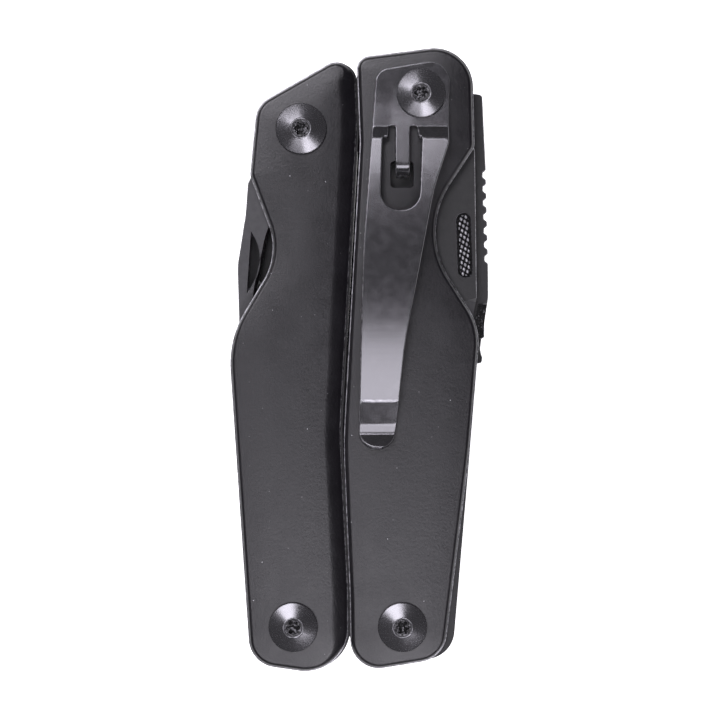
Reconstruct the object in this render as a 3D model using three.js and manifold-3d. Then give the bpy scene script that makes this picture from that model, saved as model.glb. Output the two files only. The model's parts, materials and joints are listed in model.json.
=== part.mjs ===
// Folding multi tool, closed: two handles side by side, pliers folded between them.
// Millimetres, +Z up, lying on its front scales. X is the width, with the pocket clip's handle at +X,
// and Y is the length, with the tool pivots at +Y and the pliers pivots at -Y. The origin is the
// middle of the underside.
import * as THREE from 'three';
import { mergeVertices } from 'three/addons/utils/BufferGeometryUtils.js';
import Module from 'manifold-3d';

const wasm = await Module();
wasm.setup();

// ---------------------------------------------------------------- driving dimensions
const SCALE_THICKNESS = 1.5;
const LINER_THICKNESS = 1.0;
const LAYER_GAP = 0.1; // between a scale and its liner, and between a liner and what it holds
const HANDLE_THICKNESS = 17.0;

const FRONT_LINER_Z = SCALE_THICKNESS + LAYER_GAP;
const CAVITY_Z0 = FRONT_LINER_Z + LINER_THICKNESS + LAYER_GAP;
const CAVITY_Z1 = HANDLE_THICKNESS - CAVITY_Z0;
const BACK_LINER_Z = CAVITY_Z1 + LAYER_GAP;
const BACK_SCALE_Z = HANDLE_THICKNESS - SCALE_THICKNESS;
const MID_Z = HANDLE_THICKNESS / 2;

const TOOL_PIVOT = { right: [10.23, 44.78], left: [-9.93, 38.96] };
const PLIERS_PIVOT = { right: [7.17, -45.0], left: [-11.24, -45.0] };
const JAW_PIN = [-2.035, -36.0];

const BARREL_RADIUS = 2.6;
const BARREL_HOLE = 2.75; // what turns on a barrel
const SHANK_RADIUS = 1.6;
const FLANGE_RADIUS = 4.0;
const FLANGE_DEPTH = 0.8;
const CLIP_THICKNESS = 0.9;
const CLIP_SEAT = 0.15; // air under the clip's pad

const SIDE = { right: 1, left: -1 };
const DEGREE = Math.PI / 180;

// ---------------------------------------------------------------- materials
const finish = (color, roughness, metalness) =>
  new THREE.MeshStandardMaterial({ color, roughness, metalness });
const scaleBlack = finish(0x2b2b2d, 0.55, 0.3);
const linerBlack = finish(0x1d1d1f, 0.5, 0.6);
const clipBlack = finish(0x202022, 0.35, 0.6);
const screwBlack = finish(0x1a1a1b, 0.25, 0.8);
const toolBlack = finish(0x29292b, 0.45, 0.6);
const jawSteel = finish(0x3a3a3c, 0.4, 0.8);
const springSteel = finish(0x8a8a88, 0.35, 0.9);

// ---------------------------------------------------------------- outlines
/** Closed outline through [x, y, radius] corners, each corner rounded with an arc of its radius. */
function outline(corners, step = 20) {
  const count = corners.length;
  const points = [];
  corners.forEach(([x, y, radius = 0], index) => {
    const corner = new THREE.Vector2(x, y);
    const before = new THREE.Vector2(...corners[(index + count - 1) % count].slice(0, 2));
    const after = new THREE.Vector2(...corners[(index + 1) % count].slice(0, 2));
    const toBefore = before.sub(corner).normalize();
    const toAfter = after.sub(corner).normalize();
    const half = Math.acos(THREE.MathUtils.clamp(toBefore.dot(toAfter), -1, 1)) / 2;
    if (radius === 0) {
      points.push(corner);
      return;
    }
    const bisector = toBefore.clone().add(toAfter).normalize();
    const centre = corner.clone().addScaledVector(bisector, radius / Math.sin(half));
    const start = corner.clone().addScaledVector(toBefore, radius / Math.tan(half)).sub(centre);
    const turn = (Math.PI - 2 * half) * Math.sign(toAfter.cross(toBefore));
    const pieces = Math.max(1, Math.ceil(Math.abs(turn) / (step * DEGREE)));
    for (let piece = 0; piece <= pieces; piece += 1) {
      const arm = start.clone().rotateAround(new THREE.Vector2(), (turn * piece) / pieces);
      points.push(arm.add(centre));
    }
  });
  return THREE.ShapeUtils.area(points) < 0 ? points.reverse() : points;
}

/** Round hole as an outline. */
function circle([x, y], radius, sides = 16) {
  return Array.from({ length: sides }, (_, index) => {
    const angle = (index / sides) * 2 * Math.PI;
    return new THREE.Vector2(x + radius * Math.cos(angle), y + radius * Math.sin(angle));
  });
}

/** The same outline moved inwards, point by point along its corner bisectors. */
function inset(points, amount) {
  const count = points.length;
  return points.map((point, index) => {
    const along = points[(index + 1) % count].clone().sub(points[(index + count - 1) % count]);
    const inward = new THREE.Vector2(-along.y, along.x).normalize();
    return point.clone().addScaledVector(inward, amount);
  });
}

// ---------------------------------------------------------------- solids
/** Closed solid through outlines of equal point count, each at its height, with straight holes. */
function stack(levels, holes = []) {
  const position = [];
  const index = [];
  const addRing = (points, z) => {
    const first = position.length / 3;
    points.forEach(({ x, y }) => position.push(x, y, z));
    return first;
  };
  const addWall = (lower, upper, count, outward) => {
    for (let i = 0; i < count; i += 1) {
      const j = (i + 1) % count;
      const quad = [lower + i, lower + j, upper + j, lower + i, upper + j, upper + i];
      index.push(...(outward ? quad : quad.reverse()));
    }
  };
  const rings = levels.map(({ points, z }) => addRing(points, z));
  const count = levels[0].points.length;
  for (let level = 1; level < rings.length; level += 1) {
    addWall(rings[level - 1], rings[level], count, true);
  }
  const ends = [levels[0], levels[levels.length - 1]];
  const holeRings = holes.map((hole) => ends.map(({ z }) => addRing(hole, z)));
  holeRings.forEach(([lower, upper], hole) => addWall(lower, upper, holes[hole].length, false));
  ends.forEach(({ points }, end) => {
    const faces = THREE.ShapeUtils.triangulateShape(points, holes.map((hole) => hole.slice()));
    const ring = rings[end === 0 ? 0 : rings.length - 1];
    const vertex = points.map((_, i) => ring + i);
    holes.forEach((hole, h) => hole.forEach((_, i) => vertex.push(holeRings[h][end] + i)));
    faces.forEach(([a, b, c]) => {
      const face = [vertex[a], vertex[b], vertex[c]];
      index.push(...(end === 0 ? face.reverse() : face));
    });
  });
  const geometry = new THREE.BufferGeometry();
  geometry.setAttribute('position', new THREE.Float32BufferAttribute(position, 3));
  geometry.setIndex(index);
  return geometry;
}

/** Flat plate between two heights. */
const plate = (points, z0, z1, holes = []) => stack([{ points, z: z0 }, { points, z: z1 }], holes);

/** Turned solid about a vertical axis through [x, y]; the profile is [radius, z] pairs. */
function turned([x, y], profile, sides = 16) {
  const points = profile.map(([radius, z]) => new THREE.Vector2(radius, z));
  const geometry = new THREE.LatheGeometry(points, sides);
  geometry.rotateX(Math.PI / 2);
  return geometry.translate(x, y, 0);
}

/** Prism across the width of a side profile of [y, z] corners, from x0 to x1. */
function prismAcross(corners, x0, x1) {
  const geometry = plate(outline(corners), x0, x1);
  const toWorld = new THREE.Matrix4().set(0, 0, 1, 0, 1, 0, 0, 0, 0, 1, 0, 0, 0, 0, 0, 1);
  return geometry.applyMatrix4(toWorld);
}

function toSolid(geometry) {
  const bare = geometry.clone();
  bare.deleteAttribute('normal');
  bare.deleteAttribute('uv');
  const welded = mergeVertices(bare, 1e-5);
  return new wasm.Manifold(
    new wasm.Mesh({
      numProp: 3,
      vertProperties: new Float32Array(welded.attributes.position.array),
      triVerts: new Uint32Array(welded.index.array),
    }),
  );
}

function toGeometry(solid) {
  const mesh = solid.getMesh();
  const geometry = new THREE.BufferGeometry();
  geometry.setAttribute('position', new THREE.BufferAttribute(mesh.vertProperties, 3));
  geometry.setIndex(new THREE.BufferAttribute(mesh.triVerts, 1));
  return geometry;
}

const join = (first, ...others) =>
  toGeometry(others.reduce((solid, other) => solid.add(toSolid(other)), toSolid(first)));
const cut = (first, ...others) =>
  toGeometry(others.reduce((solid, other) => solid.subtract(toSolid(other)), toSolid(first)));
const common = (first, second) => toGeometry(toSolid(first).intersect(toSolid(second)));

// ---------------------------------------------------------------- handle plates
// Outer outline of each handle, clockwise from the corner beside the other handle's top.
const HANDLE_OUTLINE = {
  right: [
    [-0.6, 51.1, 2.2],
    [18.95, 53.6, 6.6],
    [19.35, 36.0, 2.2],
    [10.1, 21.8, 14.7],
    [20.3, 5.6, 11.0],
    [18.6, -15.0, 60],
    [14.2, -50.4, 5.2],
    [-1.55, -52.95, 4.9],
    [-1.75, -40.0, 30],
    [-2.85, -14.0, 60],
    [-0.05, 36.5, 20],
  ],
  left: [
    [-0.95, 52.55, 3.2],
    [-17.45, 43.1, 4.5],
    [-18.6, 31.2, 2.2],
    [-13.65, 18.0, 11.0],
    [-22.25, 3.5, 17.0],
    [-18.55, -51.35, 5.0],
    [-1.95, -53.7, 7.3],
    [-2.0, -39.0, 30],
    [-3.35, -12.0, 50],
    [-0.5, 40.0, 20],
  ],
};

// Corners that differ in the plates under the back scales, by their place in the handle's outline.
// The clip handle's plates run a little wide low on its outside. One liner of each handle laps the
// gap between the handles, and the plain handle's front plates are less waisted.
const WIDE_RIGHT = { 5: [18.9, -15.0, 60], 6: [15.9, -50.2, 5.2] };
const LAPPED_RIGHT = {
  0: [-0.95, 51.1, 2.2],
  7: [-2.15, -52.95, 4.9],
  8: [-2.35, -40.0, 30],
  9: [-3.45, -14.0, 60],
  10: [-0.65, 36.5, 20],
};
const LAPPED_LEFT = {
  0: [-0.6, 52.55, 3.2],
  6: [-1.35, -53.7, 7.3],
  7: [-1.4, -39.0, 30],
  8: [-2.75, -12.0, 50],
  9: [0.1, 40.0, 20],
};
const SHALLOW_LEFT = { 3: [-16.2, 18.0, 11.0] };
const CHANGED_CORNERS = {
  right_back_liner: WIDE_RIGHT,
  right_front_liner: { ...WIDE_RIGHT, ...LAPPED_RIGHT },
  right_front_scale: WIDE_RIGHT,
  left_back_liner: LAPPED_LEFT,
  left_front_liner: SHALLOW_LEFT,
  left_front_scale: SHALLOW_LEFT,
};

function handleOutline(side, layer) {
  const changed = CHANGED_CORNERS[`${side}_${layer}`] ?? {};
  return outline(HANDLE_OUTLINE[side].map((corner, index) => changed[index] ?? corner));
}

const EDGE_RADIUS = 1.1;

/** Heights and insets of a quarter-round edge of the scales. */
function roundedEdge(points, faceZ, towards) {
  return [0, 45, 90].map((angle) => ({
    points: inset(points, EDGE_RADIUS * (1 - Math.cos(angle * DEGREE))),
    z: faceZ + towards * EDGE_RADIUS * (1 - Math.sin(angle * DEGREE)),
  }));
}

function backScale(side, holes) {
  const points = handleOutline(side, 'back_scale');
  const edge = roundedEdge(points, HANDLE_THICKNESS, -1);
  return stack([{ points, z: BACK_SCALE_Z }, ...edge], holes);
}

function frontScale(side) {
  const points = handleOutline(side, 'front_scale');
  const edge = roundedEdge(points, 0, 1).reverse();
  const holes = [TOOL_PIVOT[side], PLIERS_PIVOT[side]].map((at) => circle(at, BARREL_HOLE));
  const body = stack([...edge, { points, z: SCALE_THICKNESS }], holes);
  const sinks = [TOOL_PIVOT[side], PLIERS_PIVOT[side]].map((at) =>
    plate(circle(at, FLANGE_RADIUS + 0.15), -1, FLANGE_DEPTH + 0.2));
  return cut(body, ...sinks);
}

const COMB_PIN = { right: [1.0, 9.0], left: [-5.0, 9.0] };
const STANDOFF = { right: [9.5, -27.0], left: [-13.5, -27.0] };
const COMB_PIN_RADIUS = 0.9;
const RIVET_RADIUS = 1.2;
const STANDOFF_RADIUS = 2.2;
const LINER_INSET = 0.25;

function liner(side, layer, z) {
  const holes = [
    circle(TOOL_PIVOT[side], BARREL_HOLE),
    circle(PLIERS_PIVOT[side], BARREL_HOLE),
    circle(COMB_PIN[side], COMB_PIN_RADIUS + LAYER_GAP, 12),
    circle(STANDOFF[side], RIVET_RADIUS + LAYER_GAP, 12),
  ];
  if (side === 'right' && layer === 'back_liner') {
    holes.push(outline(TONGUE_SLOT));
  }
  return plate(inset(handleOutline(side, layer), LINER_INSET), z, z + LINER_THICKNESS, holes);
}

// ---------------------------------------------------------------- fasteners
const HEAD_HEIGHT = 1.15;
const HEAD_RADIUS = { right_tool: 4.1, left_tool: 4.3, right_pliers: 4.15, left_pliers: 4.15 };
const LOBES = { count: 6, mean: 1.35, swing: 0.2, points: 24, depth: 0.8 };
const SHANK_REACH = 3.0; // from the end of a screw's shank to the bottom of the cavity
const BORE_REACH = 1.0;
const FASTENER_GAP = 0.1;

/** Six-lobed recess of a screw head, as a prism. */
function lobedRecess([x, y], z0, z1) {
  const points = Array.from({ length: LOBES.points }, (_, index) => {
    const angle = (index / LOBES.points) * 2 * Math.PI;
    const radius = LOBES.mean + LOBES.swing * Math.cos(LOBES.count * angle);
    return new THREE.Vector2(x + radius * Math.cos(angle), y + radius * Math.sin(angle));
  });
  return plate(points, z0, z1);
}

/** Low domed screw whose shank goes down into the barrel. */
function screw(at, headRadius, seatZ) {
  const top = seatZ + HEAD_HEIGHT;
  const blank = turned(at, [
    [0, CAVITY_Z0 + SHANK_REACH],
    [SHANK_RADIUS, CAVITY_Z0 + SHANK_REACH],
    [SHANK_RADIUS, seatZ],
    [headRadius, seatZ],
    [headRadius, seatZ + 0.35],
    [headRadius * 0.86, seatZ + 0.75],
    [headRadius * 0.6, seatZ + 1.04],
    [headRadius * 0.3, top],
    [0, top],
  ]);
  return cut(blank, lobedRecess(at, top - LOBES.depth, top + 1));
}

/** Sleeve nut: a thin flange sunk in the front scale and a tube that the tools turn on. */
function barrel(at) {
  const flangeZ = FASTENER_GAP;
  const bore = SHANK_RADIUS + FASTENER_GAP;
  return turned(at, [
    [0, flangeZ],
    [FLANGE_RADIUS, flangeZ],
    [FLANGE_RADIUS, flangeZ + FLANGE_DEPTH],
    [BARREL_RADIUS, flangeZ + FLANGE_DEPTH],
    [BARREL_RADIUS, BACK_SCALE_Z - LAYER_GAP],
    [bore, BACK_SCALE_Z - LAYER_GAP],
    [bore, CAVITY_Z0 + BORE_REACH],
    [0, CAVITY_Z0 + BORE_REACH],
  ]);
}

/** Flat ring between two heights. */
const washer = (at, radius, z0, z1) => plate(circle(at, radius), z0, z1, [circle(at, BARREL_HOLE)]);

/** Shouldered rivet that holds a handle's two liners apart. */
function standoff(at) {
  return turned(at, [
    [0, FRONT_LINER_Z],
    [RIVET_RADIUS, FRONT_LINER_Z],
    [RIVET_RADIUS, CAVITY_Z0],
    [STANDOFF_RADIUS, CAVITY_Z0],
    [STANDOFF_RADIUS, CAVITY_Z1],
    [RIVET_RADIUS, CAVITY_Z1],
    [RIVET_RADIUS, BACK_LINER_Z + LINER_THICKNESS],
    [0, BACK_LINER_Z + LINER_THICKNESS],
  ], 12);
}

function combPin(at) {
  return turned(at, [
    [0, FRONT_LINER_Z],
    [COMB_PIN_RADIUS, FRONT_LINER_Z],
    [COMB_PIN_RADIUS, BACK_LINER_Z + LINER_THICKNESS],
    [0, BACK_LINER_Z + LINER_THICKNESS],
  ], 12);
}

// ---------------------------------------------------------------- comb spring
// Outline of each comb, seen from the back: a thick root, and fingers that hook over to the tangs.
const COMB_OUTLINE = {
  right: [
    [-0.9, 5.2, 0.6],
    [0.7, 27.0, 20],
    [1.6, 38.4, 6],
    [3.2, 41.0, 1.5],
    [5.6, 40.5, 0.4],
    [5.3, 39.6, 0.4],
    [3.5, 38.4, 1.5],
    [2.7, 27.0, 20],
    [2.9, 14.0, 4],
    [2.4, 5.2, 0.6],
  ],
  left: [
    [-3.9, 5.2, 0.6],
    [-2.5, 27.0, 20],
    [-2.1, 32.5, 6],
    [-3.3, 35.2, 1.5],
    [-5.5, 34.6, 0.4],
    [-5.2, 33.7, 0.4],
    [-3.9, 32.5, 1.5],
    [-4.4, 27.0, 20],
    [-5.6, 14.0, 4],
    [-6.4, 5.2, 0.6],
  ],
};
const COMB_ROOT_Y = 14.0;
const COMB_SLOT = 0.5;
const COMB_SIDE_GAP = 0.1;
const SLOT_WIDTH = 20;
const SLOT_LENGTH = 40;

/** Spring plate with one finger for each layer of tools. */
function comb(side, layers) {
  const z0 = CAVITY_Z0 + COMB_SIDE_GAP;
  const z1 = CAVITY_Z1 - COMB_SIDE_GAP;
  const pinHole = circle(COMB_PIN[side], COMB_PIN_RADIUS + LAYER_GAP, 12);
  const blank = plate(outline(COMB_OUTLINE[side]), z0, z1, [pinHole]);
  const slots = [];
  for (let layer = 1; layer < layers; layer += 1) {
    const z = CAVITY_Z1 - ((CAVITY_Z1 - CAVITY_Z0) * layer) / layers;
    const slot = new THREE.BoxGeometry(SLOT_WIDTH, SLOT_LENGTH, COMB_SLOT);
    slots.push(slot.translate(COMB_PIN[side][0], COMB_ROOT_Y + SLOT_LENGTH / 2, z));
  }
  return cut(blank, ...slots);
}

// ---------------------------------------------------------------- folding tools
/** Outline from [outward, down, radius] corners measured from a handle's tool pivot. */
function toolOutline(side, corners) {
  const [x, y] = TOOL_PIVOT[side];
  return outline(corners.map(([out, down, radius]) => [x + SIDE[side] * out, y - down, radius]));
}

/** Heights of one tool layer, counted from the back liner. */
function layerHeights(layer, layers, thickness) {
  const pitch = (CAVITY_Z1 - CAVITY_Z0) / layers;
  const middle = CAVITY_Z1 - pitch * (layer + 0.5);
  return [middle - thickness / 2, middle + thickness / 2];
}

const RIGHT_LAYERS = 5;
const LEFT_LAYERS = 4;
const RIGHT_TOOL_THICKNESS = 1.9;
const LEFT_TOOL_THICKNESS = 2.4;
const WASHER_RADIUS = 4.4;
const WASHER_THICKNESS = { right: 0.22, left: 0.3 };
const TANG_TOP = {
  right: [[-5.8, -5.8, 5.6], [5.8, -5.8, 5.6]],
  left: [[-5.3, -5.3, 5.1], [5.3, -5.3, 5.1]],
};
const TANG_NECK = {
  right: [[-3.0, 5.4, 2], [-5.8, 0.8, 3]],
  left: [[-2.8, 5.0, 2], [-5.3, 0.8, 3]],
};

function tool(side, layer, body, thickness) {
  const layers = side === 'right' ? RIGHT_LAYERS : LEFT_LAYERS;
  const [z0, z1] = layerHeights(layer, layers, thickness);
  const corners = [...TANG_TOP[side], ...body, ...TANG_NECK[side]];
  return plate(toolOutline(side, corners), z0, z1, [circle(TOOL_PIVOT[side], BARREL_HOLE)]);
}

// A plain blade: straight back, curved edge on the inner side.
const PLAIN_BLADE = [
  [6.4, 3.5, 2],
  [9.3, 9.0, 3],
  [9.62, 34.5, 4],
  [8.3, 40.5, 8],
  [3.2, 58.0, 0.5],
  [-2.2, 48.0, 16],
  [-3.3, 36.0, 12],
  [-3.4, 12.0, 2],
];

const JIMP_START = 13.1;
const JIMP_PITCH = 2.39;
const JIMP_COUNT = 7;
const JIMP_DEPTH = 0.55;

/** The jimped blade's back: a square shoulder beside the pivot, then seven round notches. */
function jimpedBack() {
  const back = [[6.3, -1.2, 1.2], [10.7, -0.6, 0.7], [11.0, 6.0, 6]];
  for (let notch = 0; notch < JIMP_COUNT; notch += 1) {
    const down = JIMP_START + notch * JIMP_PITCH;
    const out = 11.3 + 0.06 * notch;
    back.push([out, down - 0.75, 0.3], [out - JIMP_DEPTH, down - 0.3, 0.25]);
    back.push([out - JIMP_DEPTH, down + 0.3, 0.25], [out, down + 0.75, 0.3]);
  }
  return back;
}

const JIMPED_BLADE = [
  ...jimpedBack(),
  [11.75, 34.0, 4],
  [10.8, 40.5, 8],
  [4.2, 59.5, 0.5],
  [-1.6, 49.0, 16],
  [-3.0, 36.0, 12],
  [-3.2, 12.0, 2],
];

const METAL_FILE = [
  [6.6, 2.5, 2],
  [9.6, 9.0, 3],
  [11.2, 34.0, 6],
  [11.2, 41.0, 0.5],
  [1.2, 43.5, 1.2],
  [0.4, 12.0, 3],
];

const SAW_TEETH = 12;
const SAW_PITCH = 2.4;

/** The wood saw's inner edge: a row of triangular teeth, from the tip back to the tang. */
function sawTeeth() {
  const teeth = [];
  for (let tooth = 0; tooth < SAW_TEETH; tooth += 1) {
    const down = 50.0 - tooth * SAW_PITCH;
    teeth.push([-0.4, down, 0], [0.9, down - SAW_PITCH / 2, 0]);
  }
  return teeth;
}

const WOOD_SAW = [
  [6.6, 2.5, 2],
  [9.4, 9.0, 3],
  [11.0, 30.0, 6],
  [11.0, 44.6, 2],
  [6.0, 57.0, 1.5],
  [1.2, 55.5, 1.5],
  ...sawTeeth(),
  [0.9, 16.0, 1],
];

const FLAT_DRIVER = [
  [6.4, 2.5, 2],
  [8.6, 9.0, 4],
  [9.0, 27.0, 4],
  [7.9, 36.0, 2],
  [7.9, 48.0, 0.3],
  [1.9, 48.0, 0.3],
  [1.9, 36.0, 2],
  [0.6, 27.0, 4],
  [0.4, 12.0, 3],
];

const AWL = [
  [6.0, 3.0, 2],
  [9.15, 8.9, 1.2],
  [9.5, 14.0, 8],
  [10.9, 23.0, 9],
  [10.6, 33.5, 12],
  [9.7, 44.0, 0.4],
  [7.65, 27.0, 20],
  [5.6, 17.0, 10],
  [2.0, 11.0, 5],
];

const CAN_OPENER = [
  [6.0, 3.0, 2],
  [8.2, 9.0, 3],
  [8.4, 24.0, 3],
  [4.4, 31.0, 1.5],
  [2.2, 30.2, 0.4],
  [4.2, 26.0, 1.6],
  [1.8, 23.4, 1.0],
  [-2.6, 24.4, 0.4],
  [-2.6, 12.0, 3],
];

const SMALL_DRIVER = [
  [6.0, 3.0, 2],
  [7.6, 9.0, 4],
  [7.4, 22.0, 3],
  [5.8, 29.0, 2],
  [5.8, 40.0, 0.2],
  [2.3, 40.0, 0.2],
  [2.3, 29.0, 2],
  [-0.6, 22.0, 3],
  [-0.8, 11.0, 3],
];

const PHILLIPS_SHANK = [
  [6.0, 3.0, 2],
  [6.9, 9.0, 4],
  [6.7, 27.0, 0.6],
  [1.4, 27.0, 0.6],
  [1.0, 11.0, 3],
];
const BAR_RADIUS = 1.4;
const BAR_END = [4.05, 27.0]; // outward and down, where the bar leaves the shank
const BAR_PROFILE = [[0, -2], [BAR_RADIUS, -2], [BAR_RADIUS, 11], [0.5, 15], [0, 15]];
const BAR_SIDES = 16;

/** Crosshead driver: a flat shank that ends in a round bar with a tapered point. */
function phillipsDriver(layer) {
  const [z0, z1] = layerHeights(layer, LEFT_LAYERS, LEFT_TOOL_THICKNESS);
  const profile = BAR_PROFILE.map(([radius, along]) => new THREE.Vector2(radius, along));
  const bar = new THREE.LatheGeometry(profile, BAR_SIDES);
  const [x, y] = TOOL_PIVOT.left;
  bar.rotateX(Math.PI);
  bar.translate(x - BAR_END[0], y - BAR_END[1], (z0 + z1) / 2);
  return join(tool('left', layer, PHILLIPS_SHANK, LEFT_TOOL_THICKNESS), bar);
}

// ---------------------------------------------------------------- pliers
const JAW_THICKNESS = 9.2;
const JAW_Z0 = MID_Z - JAW_THICKNESS / 2;
const JAW_Z1 = MID_Z + JAW_THICKNESS / 2;
const LAP_GAP = 0.1;
const LAP_RADIUS = 6.5;
const LAP_CLEARANCE = 0.3;
const LAP_SIDES = 28;
const JAW_PIN_RADIUS = 2.2;
const NOSE_LENGTH = 38.0;
const NOSE_GAP = 0.1; // from the middle plane to each gripping face
// Side taper of the nose: where it starts past the pin, and how thin it is at the tip.
const TAPER = { behind: 20, start: 9, shoulder: 12, spare: 0.5, tipHalf: 2.2, width: 25 };

/**
 * One half of the pliers. 'left' has its tang in the left handle and, crossing at the pin, its nose
 * on the right; it is the lower half of the lap joint. 'right' is its mirror image, lapped above.
 */
function jaw(side) {
  const tangSide = SIDE[side];
  const noseSide = -tangSide;
  const [x, y] = JAW_PIN;
  const place = (corners, sign) => outline(corners.map(([dx, dy, r]) => [x + sign * dx, y + dy, r]));
  const nose = place([
    [NOSE_GAP, 0.5, 0],
    [NOSE_GAP, 7.4, 0],
    [0.7, 8.6, 0.5],
    [NOSE_GAP, 9.8, 0.5],
    [NOSE_GAP, 12.0, 0.5],
    [1.9, 15.5, 2.5],
    [NOSE_GAP, 19.0, 0.5],
    [NOSE_GAP, NOSE_LENGTH, 0.1],
    [1.3, NOSE_LENGTH, 0.6],
    [2.5, 28.0, 20],
    [4.8, 13.0, 12],
    [6.7, 4.9, 1.5],
    [5.0, 1.5, 1.0],
  ], noseSide);
  const [pivotX, pivotY] = PLIERS_PIVOT[side];
  const reach = new THREE.Vector2((pivotX - x) * tangSide, pivotY - y);
  const along = reach.clone().normalize();
  const across = new THREE.Vector2(-along.y, along.x);
  const armCorner = (distance, offset, radius) => {
    const corner = along.clone().multiplyScalar(distance).addScaledVector(across, offset);
    return [corner.x, corner.y, radius];
  };
  const eye = reach.length();
  const arm = place([
    armCorner(0, 4.0, 0),
    armCorner(eye - 3, 4.1, 2),
    armCorner(eye + 5.2, 5.0, 4.6),
    armCorner(eye + 5.2, -5.0, 4.6),
    armCorner(eye - 3, -4.6, 2),
    armCorner(0, -4.2, 0),
  ], tangSide);
  const lapBelow = side === 'left';
  const lapZ0 = lapBelow ? JAW_Z0 : MID_Z + LAP_GAP / 2;
  const lapZ1 = lapBelow ? MID_Z - LAP_GAP / 2 : JAW_Z1;
  const removedZ0 = lapBelow ? lapZ1 : JAW_Z0 - 1;
  const removedZ1 = lapBelow ? JAW_Z1 + 1 : lapZ0;
  const blank = join(
    plate(nose, JAW_Z0, JAW_Z1),
    plate(arm, JAW_Z0, JAW_Z1),
    plate(circle(JAW_PIN, LAP_RADIUS, LAP_SIDES), lapZ0, lapZ1),
  );
  const lapped = cut(
    blank,
    plate(circle(JAW_PIN, LAP_RADIUS + LAP_CLEARANCE, LAP_SIDES), removedZ0, removedZ1),
    plate(circle(JAW_PIN, JAW_PIN_RADIUS + LAYER_GAP), JAW_Z0 - 1, JAW_Z1 + 1),
    plate(circle(PLIERS_PIVOT[side], BARREL_HOLE), JAW_Z0 - 1, JAW_Z1 + 1),
  );
  const sideProfile = prismAcross([
    [y - TAPER.behind, JAW_Z0 - TAPER.spare, 0],
    [y + TAPER.start, JAW_Z0 - TAPER.spare, 0],
    [y + TAPER.shoulder, JAW_Z0 + 0.3, 6],
    [y + NOSE_LENGTH + 1, MID_Z - TAPER.tipHalf, 0],
    [y + NOSE_LENGTH + 1, MID_Z + TAPER.tipHalf, 0],
    [y + TAPER.shoulder, JAW_Z1 - 0.3, 6],
    [y + TAPER.start, JAW_Z1 + TAPER.spare, 0],
    [y - TAPER.behind, JAW_Z1 + TAPER.spare, 0],
  ], x - TAPER.width, x + TAPER.width);
  return common(lapped, sideProfile);
}

/** Rivet through the lap joint, with a low head on each face. */
function jawPin() {
  const headRadius = 3.5;
  const proud = 0.5;
  return turned(JAW_PIN, [
    [0, JAW_Z0 - proud],
    [headRadius * 0.7, JAW_Z0 - proud],
    [headRadius, JAW_Z0 - 0.1],
    [JAW_PIN_RADIUS, JAW_Z0 - 0.1],
    [JAW_PIN_RADIUS, JAW_Z1 + 0.1],
    [headRadius, JAW_Z1 + 0.1],
    [headRadius * 0.7, JAW_Z1 + proud],
    [0, JAW_Z1 + proud],
  ]);
}

// ---------------------------------------------------------------- pocket clip
const CLIP_OUTLINE = [
  [2.75, 48.7, 2.4],
  [15.1, 50.75, 3.4],
  [14.9, 36.2, 2.0],
  [12.4, 28.7, 30],
  [7.55, 3.0, 40],
  [5.7, -15.05, 2.9],
  [-0.25, -14.6, 2.8],
  [0.15, 3.0, 40],
  [0.65, 20.0, 60],
];
const CLIP_WINDOW = [
  [3.75, 38.7, 0.8],
  [10.4, 38.7, 0.8],
  [9.95, 25.0, 3.1],
  [3.3, 25.0, 3.1],
];
const TONGUE_OUTLINE = [
  [4.4, 40.5, 0],
  [4.4, 38.8, 0.6],
  [5.9, 37.6, 1.0],
  [5.9, 30.5, 0.5],
  [8.35, 30.5, 0.5],
  [8.35, 37.6, 1.0],
  [9.8, 38.8, 0.6],
  [9.8, 40.5, 0],
];
const CLIP_PAD_Z = HANDLE_THICKNESS + CLIP_SEAT + CLIP_THICKNESS / 2;
// Middle line of the clip's sheet, seen from the side: [y, z].
const CLIP_LINE = [
  [54, CLIP_PAD_Z],
  [39.0, CLIP_PAD_Z],
  [38.4, CLIP_PAD_Z + 0.25],
  [37.4, CLIP_PAD_Z + 1.2],
  [36.5, CLIP_PAD_Z + 1.45],
  [28.0, CLIP_PAD_Z + 2.3],
  [18.0, CLIP_PAD_Z + 2.6],
  [6.0, CLIP_PAD_Z + 2.2],
  [-6.3, CLIP_PAD_Z + 1.4],
  [-7.2, CLIP_PAD_Z + 1.2],
  [-10.8, CLIP_PAD_Z + 0.05],
  [-11.8, CLIP_PAD_Z],
  [-12.8, CLIP_PAD_Z + 0.3],
  [-15.6, CLIP_PAD_Z + 2.0],
];
const TONGUE_LINE = [
  [54, CLIP_PAD_Z],
  [33.6, CLIP_PAD_Z],
  [32.4, CLIP_PAD_Z - 0.3],
  [30.4, CLIP_PAD_Z - 1.45],
];
const TONGUE_SLOT = [[5.2, 29.1, 0.6], [5.2, 33.4, 0.6], [8.95, 33.4, 0.6], [8.95, 29.1, 0.6]];

/** Sheet of even thickness along a side line, as a prism across the whole width. */
function bentSheet(line) {
  const half = CLIP_THICKNESS / 2;
  const points = line.map(([y, z]) => new THREE.Vector2(y, z));
  const offset = (index, sign) => {
    const before = points[Math.max(0, index - 1)];
    const after = points[Math.min(points.length - 1, index + 1)];
    const along = after.clone().sub(before).normalize();
    const across = new THREE.Vector2(-along.y, along.x).multiplyScalar(sign * half);
    const point = points[index].clone().add(across);
    return [point.x, point.y, 0];
  };
  const upper = points.map((_, index) => offset(index, 1));
  const lower = points.map((_, index) => offset(index, -1)).reverse();
  return prismAcross([...upper, ...lower], -10, 25);
}

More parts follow.
